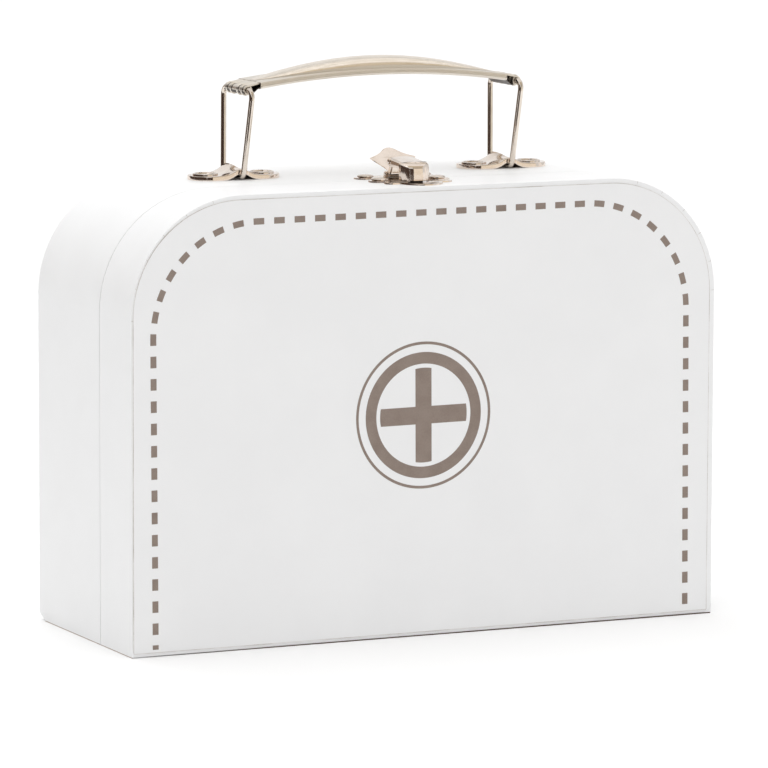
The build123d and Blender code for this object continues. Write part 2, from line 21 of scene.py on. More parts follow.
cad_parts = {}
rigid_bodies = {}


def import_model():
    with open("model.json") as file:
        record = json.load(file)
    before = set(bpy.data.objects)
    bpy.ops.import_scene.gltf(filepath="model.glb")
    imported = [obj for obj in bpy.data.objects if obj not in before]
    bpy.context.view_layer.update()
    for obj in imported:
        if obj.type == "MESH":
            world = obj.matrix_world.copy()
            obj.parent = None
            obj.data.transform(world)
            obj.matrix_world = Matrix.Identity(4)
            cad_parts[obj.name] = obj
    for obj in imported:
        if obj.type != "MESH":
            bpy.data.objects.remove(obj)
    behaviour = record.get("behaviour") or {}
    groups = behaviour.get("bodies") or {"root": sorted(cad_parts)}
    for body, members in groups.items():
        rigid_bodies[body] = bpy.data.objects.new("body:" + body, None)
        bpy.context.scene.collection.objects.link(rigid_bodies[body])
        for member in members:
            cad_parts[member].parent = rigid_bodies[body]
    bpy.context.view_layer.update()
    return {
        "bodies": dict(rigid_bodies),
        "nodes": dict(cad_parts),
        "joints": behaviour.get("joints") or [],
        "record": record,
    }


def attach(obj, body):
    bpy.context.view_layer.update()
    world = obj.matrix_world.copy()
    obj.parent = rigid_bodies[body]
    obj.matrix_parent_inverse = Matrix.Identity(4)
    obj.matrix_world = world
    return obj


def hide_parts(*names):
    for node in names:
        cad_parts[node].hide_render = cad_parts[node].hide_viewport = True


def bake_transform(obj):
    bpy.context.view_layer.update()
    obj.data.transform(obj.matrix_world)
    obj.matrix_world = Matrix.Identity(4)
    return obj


LOG = logging.getLogger("doctor_case")
MM = 0.001
IMAGE_SIDE = 768
TINY = 1e-7

Point2 = tuple[float, float]
Point3 = tuple[float, float, float]
Row = Sequence[Point3]
Margins = tuple[float, float, float, float]


class Body(Enum):
    """The moving groups that the pieces ride on."""

    BASE = "base"
    LID = "lid"
    GRIP = "grip"
    LEVER = "lever"
    HOOK = "hook"


class Slot(Enum):
    """The record's material slots, which the pieces name; their finish is passed to them."""

    FACING = "white_facing_paper"
    WRAP = "white_wrap_paper"
    BOARD = "greyboard"
    HINGE = "hinge_paper"
    PLATE = "nickel_plated_plate"
    STRAP = "nickel_plated_strap"
    RIVET = "nickel_plated_rivet"
    GRIP = "brushed_nickel_grip"
    WASHER = "steel_washer"


# ---------------------------------------------------------------- shader graphs


class Wire:
    """One socket of a shader graph, with arithmetic that adds Math nodes."""

    def __init__(self, graph: "Graph", socket: bpy.types.NodeSocket) -> None:
        """Wraps a socket.

        Args:
            graph: the graph that holds the socket.
            socket: an output socket.
        """
        self.graph = graph
        self.socket = socket

    def math(self, operation: str, *values: "Value") -> "Wire":
        """Adds a Math node of an operation and returns its output."""
        return self.graph.add("ShaderNodeMath", {"operation": operation}, dict(enumerate(values)))

    def __add__(self, other: "Value") -> "Wire":
        """self + other."""
        return self.math("ADD", self, other)

    def __radd__(self, other: "Value") -> "Wire":
        """other + self."""
        return self.math("ADD", other, self)

    def __sub__(self, other: "Value") -> "Wire":
        """self - other."""
        return self.math("SUBTRACT", self, other)

    def __rsub__(self, other: "Value") -> "Wire":
        """other - self."""
        return self.math("SUBTRACT", other, self)

    def __mul__(self, other: "Value") -> "Wire":
        """self * other."""
        return self.math("MULTIPLY", self, other)

    def __rmul__(self, other: "Value") -> "Wire":
        """other * self."""
        return self.math("MULTIPLY", other, self)

    def step(self, low: float, high: float) -> "Wire":
        """A smooth 0 to 1 step between two values."""
        return self.graph.add(
            "ShaderNodeMapRange", {"interpolation_type": "SMOOTHSTEP"},
            {"Value": self, "From Min": low, "From Max": high, "To Min": 0.0, "To Max": 1.0})


Value = Union[Wire, float, int]
Colour = tuple[float, float, float]


def darker(colour: Colour, share: float) -> Colour:
    """A share of a colour."""
    return tuple(share * channel for channel in colour)


class Graph:
    """A material's node graph around one Principled BSDF."""

    MIX_FACTOR = 0
    MIX_FIRST_COLOUR = 6
    MIX_SECOND_COLOUR = 7
    MIXED_COLOUR = 2

    def __init__(self, name: str, constants: dict[str, Union[float, tuple]]) -> None:
        """Starts an empty graph.

        Args:
            name: the material's name.
            constants: what is the same all over, set on the shader's own sockets.
        """
        self.material = bpy.data.materials.new(name)
        self.material.use_nodes = True
        self.nodes = self.material.node_tree.nodes
        self.links = self.material.node_tree.links
        self.nodes.clear()
        self.shader = self.nodes.new("ShaderNodeBsdfPrincipled")
        output = self.nodes.new("ShaderNodeOutputMaterial")
        self.links.new(self.shader.outputs[0], output.inputs["Surface"])
        for key, value in constants.items():
            self.shader.inputs[key].default_value = value

    def add(self, kind: str, settings: Optional[dict] = None, inputs: Optional[dict] = None,
            output: Union[int, str] = 0) -> Wire:
        """Adds any node.

        Args:
            kind: the node's type.
            settings: the node's own attributes, set first.
            inputs: values or wires by socket name or number.
            output: the socket to return.

        Returns:
            The chosen output.
        """
        node = self.nodes.new(kind)
        for key, value in (settings or {}).items():
            setattr(node, key, value)
        for key, value in (inputs or {}).items():
            if isinstance(value, Wire):
                self.links.new(value.socket, node.inputs[key])
            else:
                node.inputs[key].default_value = value
        return Wire(self, node.outputs[output])

    def place(self, stretch: Point3 = (1.0, 1.0, 1.0)) -> Wire:
        """The point on the surface in the part's frame, in metres, stretched along the axes."""
        coordinates = self.add("ShaderNodeTexCoord", output="Object")
        return self.add("ShaderNodeVectorMath", {"operation": "MULTIPLY"}, {0: coordinates, 1: stretch})

    def noise(self, feature: float, detail: float = 2.0, roughness: float = 0.5,
              stretch: Point3 = (1.0, 1.0, 1.0)) -> Wire:
        """Noise from 0 to 1.

        Args:
            feature: the size of a feature in millimetres.
            detail: how many finer layers are added.
            roughness: how strong the finer layers are.
            stretch: how much closer the features are packed along each axis.

        Returns:
            The noise's value.
        """
        return self.add("ShaderNodeTexNoise", {"noise_dimensions": "3D"},
                        {"Vector": self.place(stretch), "Scale": 1.0 / (feature * MM), "Detail": detail,
                         "Roughness": roughness})

    def blend(self, factor: Value, first: Union[Wire, Colour], second: Union[Wire, Colour]) -> Wire:
        """Mixes two colours.

        Args:
            factor: 0 for the first colour, 1 for the second.
            first: the first colour, or a wire that carries one.
            second: the second colour, or a wire that carries one.

        Returns:
            The mixed colour.
        """
        inputs = {self.MIX_FACTOR: factor}
        for socket, colour in ((self.MIX_FIRST_COLOUR, first), (self.MIX_SECOND_COLOUR, second)):
            inputs[socket] = colour if isinstance(colour, Wire) else (*colour, 1.0)
        return self.add("ShaderNodeMix", {"data_type": "RGBA"}, inputs, self.MIXED_COLOUR)

    def connect(self, name: str, value: Wire) -> None:
        """Feeds a wire into one of the shader's sockets."""
        self.links.new(value.socket, self.shader.inputs[name])

    def relief(self, height: Wire, depth: float) -> None:
        """Makes a height from 0 to 1 a relief of a depth in millimetres."""
        bump = self.add("ShaderNodeBump", None, {"Height": height, "Strength": 1.0, "Distance": depth * MM})
        self.connect("Normal", bump)


# ---------------------------------------------------------------- finishes


@dataclass(frozen=True)
class Finish:
    """A finish that can be put on pieces; made into a material once."""

    name: str

    def graph(self) -> Graph:
        """The finish's shader graph."""
        raise NotImplementedError

    def material(self) -> bpy.types.Material:
        """The finish's material, made when it is first asked for."""
        found = bpy.data.materials.get(self.name)
        return found or self.graph().material


@dataclass(frozen=True)
class Paper(Finish):
    """Paper with a fine fibre grain, a faint mottle, a soft sheen and, where it is pasted, slow waves."""

    colour: Colour
    shade: Colour
    roughness: float
    specular: float
    mottle: float
    grain: float
    grain_depth: float
    wave_depth: float = 0.0
    wave: float = 45.0
    mottle_share: float = 0.7
    tone_range: Point2 = (0.3, 0.75)
    mottle_swing: float = 0.12
    fibre_swing: float = 0.08

    def graph(self) -> Graph:
        """Builds the finish's shader graph.

        Returns:
            The graph.
        """
        graph = Graph(self.name, {"Specular IOR Level": self.specular})
        mottle = graph.noise(self.mottle, detail=3.0)
        fibre = graph.noise(self.grain, detail=3.0, roughness=0.6, stretch=(1.0, 1.0, 2.5))
        tone = (mottle * self.mottle_share + fibre * (1 - self.mottle_share)).step(*self.tone_range)
        graph.connect("Base Color", graph.blend(tone, self.shade, self.colour))
        rough = self.roughness + (mottle - 0.5) * self.mottle_swing + (fibre - 0.5) * self.fibre_swing
        graph.connect("Roughness", rough)
        height = fibre * self.grain_depth
        if self.wave_depth:
            height = height + graph.noise(self.wave, detail=1.0) * self.wave_depth
        graph.relief(height, 1.0)
        return graph


@dataclass(frozen=True)
class Ink(Finish):
    """Printed ink that covers the paper's grain a little unevenly."""

    colour: Colour
    thin: Colour
    speckle: float = 0.35
    patch: float = 6.0
    cover_range: Point2 = (0.32, 0.7)
    roughness: float = 0.52
    swing: float = 0.12
    depth: float = 0.006

    def graph(self) -> Graph:
        """Builds the finish's shader graph.

        Returns:
            The graph.
        """
        graph = Graph(self.name, {"Specular IOR Level": 0.35})
        speckle = graph.noise(self.speckle, roughness=0.7)
        patch = graph.noise(self.patch)
        cover = (speckle * 0.5 + patch * 0.5).step(*self.cover_range)
        graph.connect("Base Color", graph.blend(cover, self.thin, self.colour))
        graph.connect("Roughness", self.roughness + (patch - 0.5) * self.swing)
        graph.relief(speckle, self.depth)
        return graph


@dataclass(frozen=True)
class Greyboard(Finish):
    """Pressed board with darker fibres and flecks."""

    colour: Colour
    fleck: Colour
    fibre_size: float = 0.8
    fibre_shade: float = 0.8
    fleck_size: float = 1.7
    fleck_range: Point2 = (0.62, 0.7)
    roughness: float = 0.8
    swing: float = 0.15
    depth: float = 0.05

    def graph(self) -> Graph:
        """Builds the finish's shader graph.

        Returns:
            The graph.
        """
        graph = Graph(self.name, {"Specular IOR Level": 0.2})
        fibre = graph.noise(self.fibre_size, detail=4.0, roughness=0.7, stretch=(1.0, 1.0, 3.0))
        fleck = graph.noise(self.fleck_size).step(*self.fleck_range)
        base = graph.blend(fibre, darker(self.colour, self.fibre_shade), self.colour)
        graph.connect("Base Color", graph.blend(fleck, base, self.fleck))
        graph.connect("Roughness", self.roughness + (fibre - 0.5) * self.swing)
        graph.relief(fibre, self.depth)
        return graph


@dataclass(frozen=True)
class Plating(Finish):
    """Bright plating on stamped steel: warm, with faint clouds, pits and rub marks."""

    colour: Colour
    cloud: Colour
    roughness: float
    swing: float
    line: Point3 = (1.0, 1.0, 1.0)
    line_depth: float = 0.0015
    line_size: float = 0.3
    streak: float = 0.4
    cloud_size: float = 5.0
    tone_range: Point2 = (0.3, 0.7)
    pit_size: float = 0.5
    pit_range: Point2 = (0.72, 0.8)
    pit_roughness: float = 0.15
    pit_share: float = 0.5

    def graph(self) -> Graph:
        """Builds the finish's shader graph.

        Returns:
            The graph.
        """
        graph = Graph(self.name, {"Metallic": 1.0})
        cloud = graph.noise(self.cloud_size, detail=3.0)
        rub = graph.noise(self.line_size, detail=3.0, roughness=0.6, stretch=self.line)
        pit = graph.noise(self.pit_size, detail=1.0).step(*self.pit_range)
        tone = (cloud * (1.0 - self.streak) + rub * self.streak).step(*self.tone_range)
        graph.connect("Base Color", graph.blend(tone, self.cloud, self.colour))
        uneven = (cloud - 0.5) * self.swing + (rub - 0.5) * self.swing
        graph.connect("Roughness", self.roughness + uneven + pit * self.pit_roughness)
        graph.relief(rub - pit * self.pit_share, self.line_depth)
        return graph


@dataclass(frozen=True)
class Sweep(Finish):
    """The pale floor: matt paper with hardly any tone."""

    colour: Colour
    cloud_size: float = 300.0
    cloud_shade: float = 0.995

    def graph(self) -> Graph:
        """Builds the finish's shader graph.

        Returns:
            The graph.
        """
        graph = Graph(self.name, {"Specular IOR Level": 0.1, "Roughness": 0.9})
        cloud = graph.noise(self.cloud_size)
        graph.connect("Base Color", graph.blend(cloud, darker(self.colour, self.cloud_shade), self.colour))
        return graph


@dataclass(frozen=True)
class Panel(Finish):
    """An even studio panel that gives off light, or next to none."""

    colour: Colour
    strength: float = 1.0

    def graph(self) -> Graph:
        """Builds the finish's shader graph.

        Returns:
            The graph.
        """
        return Graph(self.name, {
            "Base Color": (0.0, 0.0, 0.0, 1.0), "Roughness": 1.0, "Specular IOR Level": 0.0,
            "Emission Color": (*self.colour, 1.0), "Emission Strength": self.strength})


FACING_PAPER = Paper("coated_facing_paper", (0.865, 0.866, 0.87), (0.84, 0.841, 0.846), roughness=0.38,
                     specular=0.45, mottle=30.0, grain=0.5, grain_depth=0.006)
WRAP_PAPER = Paper("satin_wrap_paper", (0.874, 0.877, 0.881), (0.855, 0.857, 0.86), roughness=0.42,
                   specular=0.3, mottle=18.0, grain=0.45, grain_depth=0.008, wave_depth=0.02)
LINING_PAPER = Paper("matt_lining_paper", (0.84, 0.835, 0.82), (0.8, 0.79, 0.775), roughness=0.7,
                     specular=0.25, mottle=12.0, grain=0.6, grain_depth=0.02)
HINGE_PAPER = Paper("hinge_tape_paper", (0.78, 0.77, 0.75), (0.72, 0.71, 0.69), roughness=0.55,
                    specular=0.3, mottle=9.0, grain=0.5, grain_depth=0.03)
# The dark line round the facing: the cut edge's darker tone, with painted shade at the sheet's step.
EDGE_TONE_AND_SHADE = Paper("cut_edge_tone_and_shade", (0.40, 0.35, 0.31), (0.78, 0.76, 0.74), roughness=0.6,
                  specular=0.2, mottle=14.0, grain=2.2, grain_depth=0.01)
# Painted shade of the creases in the small pleats at the upper corners.
PLEAT_SHADE_PAPER = Paper("painted_pleat_shade", (0.6, 0.57, 0.54), (0.45, 0.41, 0.37), roughness=0.6,
                    specular=0.2, mottle=3.0, grain=0.5, grain_depth=0.01)
TAUPE_INK = Ink("taupe_print", (0.232, 0.178, 0.149), (0.282, 0.224, 0.189))
BOARD = Greyboard("pressed_greyboard", (0.5, 0.47, 0.42), (0.28, 0.24, 0.2))
# A near-black strip in the seam: painted shade of the seam gap.
SEAM_SHADE_BOARD = Greyboard("painted_seam_shade", (0.10, 0.09, 0.08), (0.07, 0.06, 0.05))
# Brown strips under the side edges: painted contact shadow.
SIDE_SHADOW_BOARD = Greyboard("painted_side_contact_shadow", (0.42, 0.32, 0.25), (0.3, 0.22, 0.17))
# A dark brown wedge under the front edge: painted contact shadow.
FRONT_SHADOW_BOARD = Greyboard("painted_front_contact_shadow", (0.10, 0.06, 0.04), (0.05, 0.03, 0.02))
NICKEL = Plating("warm_nickel_sheet", (0.93, 0.83, 0.745), (0.82, 0.71, 0.62), roughness=0.1, swing=0.07)
NICKEL_WIRE = Plating("drawn_nickel_wire", (0.84, 0.77, 0.69), (0.72, 0.64, 0.56), roughness=0.1,
                      swing=0.07, line=(1.0, 1.0, 0.1))
NICKEL_RIVET = Plating("struck_nickel_rivet", (0.86, 0.78, 0.71), (0.72, 0.63, 0.56), roughness=0.13,
                       swing=0.08)
BRUSHED_BOSS = Plating("brushed_nickel_boss", (0.97, 0.89, 0.79), (0.82, 0.73, 0.61), roughness=0.24,
                       swing=0.06, line=(0.015, 1.0, 1.0), line_depth=0.006, line_size=0.6, streak=0.85)
BRUSHED_NICKEL = Plating("brushed_nickel_grip", (1.0, 0.98, 0.96), (0.93, 0.89, 0.85), roughness=0.1,
                         swing=0.06, line=(0.015, 1.0, 1.0), line_depth=0.004, line_size=0.45, streak=0.8)
# Near-black steel for the grip's hollow, the grooves by the rolls' ribs and the latch's catch: painted shade.
DARK_SHADE_STEEL = Plating("painted_shade_steel", (0.10, 0.085, 0.075), (0.06, 0.05, 0.045), roughness=0.45,
                     swing=0.15)
WASHER_STEEL = Plating("plain_steel_washer", (0.62, 0.61, 0.6), (0.5, 0.49, 0.48), roughness=0.35,
                       swing=0.15)
FLOOR_PAPER = Sweep("pale_floor", (0.952, 0.952, 0.952))
UMBER_PANEL = Panel("dark_umber_panel", (0.062, 0.042, 0.034))
CREAM_PANEL = Panel("warm_cream_panel", (0.86, 0.79, 0.68))
TAUPE_PANEL = Panel("mid_taupe_panel", (0.40, 0.35, 0.28))
TAN_PANEL = Panel("tan_panel", (0.56, 0.49, 0.39))
BROWN_PANEL = Panel("brown_panel", (0.27, 0.2, 0.155))
BRIGHT_PANEL = Panel("bright_white_panel", (1.0, 0.985, 0.97), 0.9)
BACKDROP_PANEL = Panel("white_backdrop_panel", (1.0, 1.0, 1.0), 0.88)
FLAG_PANEL = Panel("grey_flag_panel", (0.60, 0.60, 0.60))


# ---------------------------------------------------------------- mesh building


@dataclass
class Mesher:
    """Collects vertices in millimetres and faces, and makes one piece of them."""

    points: list[Point3] = field(default_factory=list)
    faces: list[tuple[int, ...]] = field(default_factory=list)

    def grid(self, rows: Sequence[Row], ring: bool = False, loop: bool = False, caps: bool = False) -> None:
        """Adds a surface through rows of points.

        Args:
            rows: rows with as many points each.
            ring: whether each row closes on itself.
            loop: whether the last row joins the first.
            caps: whether the first and the last row are filled.
        """
        start, wide = len(self.points), len(rows[0])
        self.points.extend(point for row in rows for point in row)
        for i in range(len(rows) if loop else len(rows) - 1):
            below, above = start + i * wide, start + (i + 1) % len(rows) * wide
            for j in range(wide if ring else wide - 1):
                k = (j + 1) % wide
                self.faces.append((below + j, below + k, above + k, above + j))
        if caps:
            last = start + (len(rows) - 1) * wide
            self.faces.append(tuple(start + j for j in reversed(range(wide))))
            self.faces.append(tuple(last + j for j in range(wide)))

    def prism(self, outline: Sequence[Point3], depth: Point3) -> None:
        """Adds an outline pushed along a vector, filled at both ends."""
        pushed = [tuple(a + b for a, b in zip(point, depth)) for point in outline]
        self.grid([outline, pushed], ring=True, caps=True)

    def lathe(self, profile: Sequence[Point2], centre: Point3, axis: str = "Z", sides: int = 48) -> None:
        """Turns a profile about an axis.

        Args:
            profile: points as (radius, height along the axis).
            centre: the point that heights are measured from.
            axis: the axis's letter.
            sides: how many flats the turned surface has.
        """
        rows = []
        for radius, height in profile:
            row = []
            for i in range(sides):
                angle = 2 * math.pi * i / sides
                a, b = radius * math.cos(angle), radius * math.sin(angle)
                offset = {"X": (height, a, b), "Y": (a, height, b), "Z": (a, b, height)}[axis]
                row.append(tuple(c + o for c, o in zip(centre, offset)))
            rows.append(row)
        self.grid(rows, ring=True, caps=True)

    def piece(self, name: str, finish: Finish, body: Optional[Body], slot: Optional[Slot] = None,
              replaces: Sequence[str] = (), thickness: float = 0.0,
              crease_angle: float = 32.0) -> bpy.types.Object:
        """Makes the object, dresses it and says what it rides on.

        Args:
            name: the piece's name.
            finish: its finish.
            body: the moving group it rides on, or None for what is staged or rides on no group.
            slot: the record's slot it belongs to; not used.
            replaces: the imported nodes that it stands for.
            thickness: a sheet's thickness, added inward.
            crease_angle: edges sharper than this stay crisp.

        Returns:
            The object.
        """
        mesh = bpy.data.meshes.new(name)
        mesh.from_pydata([tuple(c * MM for c in point) for point in self.points], [], self.faces)
        work = bmesh.new()
        work.from_mesh(mesh)
        bmesh.ops.remove_doubles(work, verts=work.verts, dist=TINY)
        bmesh.ops.recalc_face_normals(work, faces=work.faces)
        work.to_mesh(mesh)
        work.free()
        mesh.materials.append(finish.material())
        piece = bpy.data.objects.new(name, mesh)
        bpy.context.scene.collection.objects.link(piece)
        if thickness:
            thicken(piece, thickness)
        piece.data.shade_smooth()
        piece.data.set_sharp_from_angle(angle=math.radians(crease_angle))
        if body is not None:
            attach(piece, body.value)
        if replaces:
            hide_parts(*replaces)
        LOG.info("%s: %d faces", name, len(piece.data.polygons))
        return piece


def thicken(piece: bpy.types.Object, thickness: float) -> None:
    """Gives an open surface a thickness, in its own mesh.

    Args:
        piece: the object.
        thickness: the sheet's thickness, added inward.
    """
    shell = piece.modifiers.new("sheet", "SOLIDIFY")
    shell.thickness = thickness * MM
    shell.offset = -1.0
    shell.use_even_offset = True
    graph = bpy.context.evaluated_depsgraph_get()
    mesh = bpy.data.meshes.new_from_object(piece.evaluated_get(graph))
    piece.modifiers.clear()
    piece.data = mesh


def arc(centre: Point2, radius: float, start: float, end: float, steps: int) -> list[Point2]:
    """Points on an arc, angles in degrees."""
    angles = [math.radians(start + (end - start) * i / steps) for i in range(steps + 1)]
    return [(centre[0] + radius * math.cos(a), centre[1] + radius * math.sin(a)) for a in angles]


def ease(low: float, high: float, value: float) -> float:
    """A smooth 0 to 1 step between two values."""
    share = min(max((value - low) / (high - low), 0.0), 1.0)
    return share * share * (3 - 2 * share)


def between(first: float, second: float, share: float) -> float:
    """The value at a share of the way from one number to another."""
    return first + (second - first) * share


# ---------------------------------------------------------------- studio


@dataclass
class Studio:
    """The camera, the pale floor, the soft lights and the panels that the metal mirrors."""

    camera_place: Point3 = (-994.59, -2141.04, 416.35)
    yaw: float = 24.98
    pitch: float = 7.788
    roll: float = 0.195
    focal_pixels: float = 6022.7
    sensor: float = 36.0
    centre_shift: Point2 = (-0.18, -0.97)
    clip: Point2 = (0.1, 100.0)
    floor_size: float = 9000.0
    world_colour: Colour = (1.0, 1.0, 1.0)
    world_strength: float = 0.70
    overhead_power: float = 1.3
    overhead_spread: float = 75.0
    overhead_from: Point3 = (-0.06, -0.09, 1.0)
    overhead_colour: Colour = (1.0, 0.99, 0.98)
    back_power: float = 1.0
    back_size: Point2 = (500.0, 300.0)
    back_place: Point3 = (-40.0, 420.0, 620.0)
    back_target: Point3 = (0.0, 30.0, 176.0)

    def build(self) -> None:
        """Makes the whole studio."""
        self.camera()
        self.floor()
        self.world()
        self.overhead_light()
        self.back_light()
        self.panels()

    def camera(self) -> None:
        """Sets the camera from its place, its three angles and its focal length in pixels."""
        yaw, pitch, roll = (math.radians(a) for a in (self.yaw, self.pitch, self.roll))
        forward = Vector((math.sin(yaw) * math.cos(pitch), math.cos(yaw) * math.cos(pitch), -math.sin(pitch)))
        level = Vector((math.cos(yaw), -math.sin(yaw), 0.0))
        above = level.cross(forward)
        right = level * math.cos(roll) + above * math.sin(roll)
        up = above * math.cos(roll) - level * math.sin(roll)
        data = bpy.data.cameras.new("camera")
        data.sensor_width = self.sensor
        data.lens = self.focal_pixels * self.sensor / IMAGE_SIDE
        data.shift_x = -self.centre_shift[0] / IMAGE_SIDE
        data.shift_y = self.centre_shift[1] / IMAGE_SIDE
        data.clip_start, data.clip_end = self.clip
        camera = bpy.data.objects.new("camera", data)
        turn = Matrix((right, up, -forward)).transposed().to_4x4()
        camera.matrix_world = Matrix.Translation(Vector(self.camera_place) * MM) @ turn
        bpy.context.scene.collection.objects.link(camera)
        bpy.context.scene.camera = camera

    def floor(self) -> None:
        """Lays the pale floor."""
        half, maker = self.floor_size / 2, Mesher()
        maker.grid([[(-half, -half, 0.0), (half, -half, 0.0)], [(-half, half, 0.0), (half, half, 0.0)]])
        maker.piece("floor", FLOOR_PAPER, None)

    def world(self) -> None:
        """Fills the room with even white light."""
        world = bpy.data.worlds.new("white_room")
        world.use_nodes = True
        background = world.node_tree.nodes["Background"]
        background.inputs["Color"].default_value = (*self.world_colour, 1.0)
        background.inputs["Strength"].default_value = self.world_strength
        bpy.context.scene.world = world
        bpy.context.scene.view_settings.view_transform = "Standard"

    def overhead_light(self) -> None:
        """Hangs a very broad soft light over the whole floor."""
        data = bpy.data.lights.new("overhead", "SUN")
        data.energy = self.overhead_power
        data.angle = math.radians(self.overhead_spread)
        data.color = self.overhead_colour
        light = bpy.data.objects.new("overhead", data)
        light.rotation_euler = (-Vector(self.overhead_from)).to_track_quat("-Z", "Y").to_euler()
        bpy.context.scene.collection.objects.link(light)

    def back_light(self) -> None:
        """Hangs a faint light behind the case that lifts its top and that no metal mirrors."""
        data = bpy.data.lights.new("back_light", "AREA")
        data.energy = self.back_power
        data.shape = "RECTANGLE"
        data.size, data.size_y = (side * MM for side in self.back_size)
        light = bpy.data.objects.new("back_light", data)
        place, target = Vector(self.back_place), Vector(self.back_target)
        light.location = place * MM
        light.rotation_euler = (target - place).to_track_quat("-Z", "Y").to_euler()
        light.visible_glossy = False
        bpy.context.scene.collection.objects.link(light)

    def panel(self, name: str, place: Point3, target: Point3, size: Point2,
              finish: Finish) -> bpy.types.Object:
        """Stands a panel that only mirror-like surfaces see.

        Args:
            name: the panel's name.
            place: its middle.
            target: the point it faces.
            size: its width and height.
            finish: what it shows.

        Returns:
            The panel.
        """
        x, y = size[0] / 2, size[1] / 2
        maker = Mesher()
        maker.grid([[(-x, -y, 0.0), (x, -y, 0.0)], [(-x, y, 0.0), (x, y, 0.0)]])
        panel = maker.piece(name, finish, None)
        turn = (Vector(target) - Vector(place)).to_track_quat("Z", "Y").to_matrix().to_4x4()
        panel.matrix_world = Matrix.Translation(Vector(place) * MM) @ turn
        panel.visible_camera = False
        panel.visible_diffuse = False
        panel.visible_shadow = False
        panel.visible_transmission = False
        return panel

    def panels(self) -> None:
        """Stands the panels: dark to the left, warm in front, bright above, and a grey flag for paper."""
        stands = (
            ("umber_panel_left", (-1400, 0, 560), (0, 0, 560), (3900, 1250), UMBER_PANEL),
            ("umber_panel_front", (-900, -2450, 560), (-900, 0, 560), (1500, 1250), UMBER_PANEL),
            ("umber_panel_below", (-1050, -1350, 3), (-1050, -1350, 900), (1900, 1800), UMBER_PANEL),
            ("cream_panel_front", (1100, -2500, 620), (1100, 0, 620), (2500, 1200), CREAM_PANEL),
            ("taupe_panel_front", (1100, -2500, 2200), (1100, 0, 2200), (2900, 1900), TAUPE_PANEL),
            ("cream_panel_below", (900, -1500, 3), (900, -1500, 900), (1900, 1500), CREAM_PANEL),
            ("tan_panel_over", (400, -800, 1800), (400, 0, 190), (2800, 1150), TAN_PANEL),
            ("brown_panel_back", (-1050, 1850, 420), (0, 0, 190), (1500, 860), BROWN_PANEL),
            ("bright_panel_above", (150, 560, 1500), (150, 560, 0), (2400, 1600), BRIGHT_PANEL),
            ("bright_panel_right", (1700, -500, 350), (0, 0, 190), (700, 900), BRIGHT_PANEL),
            ("backdrop_behind", (300, 2600, 760), (300, 0, 760), (5400, 1500), BACKDROP_PANEL),
        )
        for name, place, target, size, finish in stands:
            self.panel(name, place, target, size, finish)
        flag = self.panel("grey_flag_left", (-1380.0, -200.0, 560.0), (0.0, -200.0, 560.0), (3600.0, 1200.0),
                          FLAG_PANEL)
        flag.visible_diffuse = True
        flag.visible_glossy = False


# ---------------------------------------------------------------- the case


@dataclass
class CaseForm:
    """The case's outline and depths, shared by what sits on it."""

    width: float = 250.0
    height: float = 176.0
    front: float = -47.8
    back: float = 47.8
    seam: float = -15.8
    top_radius: float = 46.0
    top_steps: int = 28
    fold: float = 3.5
    fold_steps: int = 5
    cover: float = 0.3

    def outline(self, margins: Margins, corner: Optional[float] = None) -> list[Point2]:
        """The front outline as (x, z) points, set in on each side, clockwise from the lower left corner.

        Args:
            margins: the left, right, top and bottom margins.
            corner: the radius of the lower corners, where it isn't that of the case's folds.

        Returns:
            The points, in order.
        """
        left, right, top, bottom = margins
        x0, x1 = left - self.width / 2, self.width / 2 - right
        z0, z1 = self.cover + bottom, self.height - top
        big = self.top_radius - top
        small = self.fold if corner is None else corner
        points = arc((x0 + small, z0 + small), small, 270, 180, self.fold_steps)
        points += arc((x0 + big, z1 - big), big, 180, 90, self.top_steps)
        points += arc((x1 - big, z1 - big), big, 90, 0, self.top_steps)
        points += arc((x1 - small, z0 + small), small, 0, -90, self.fold_steps)
        return points


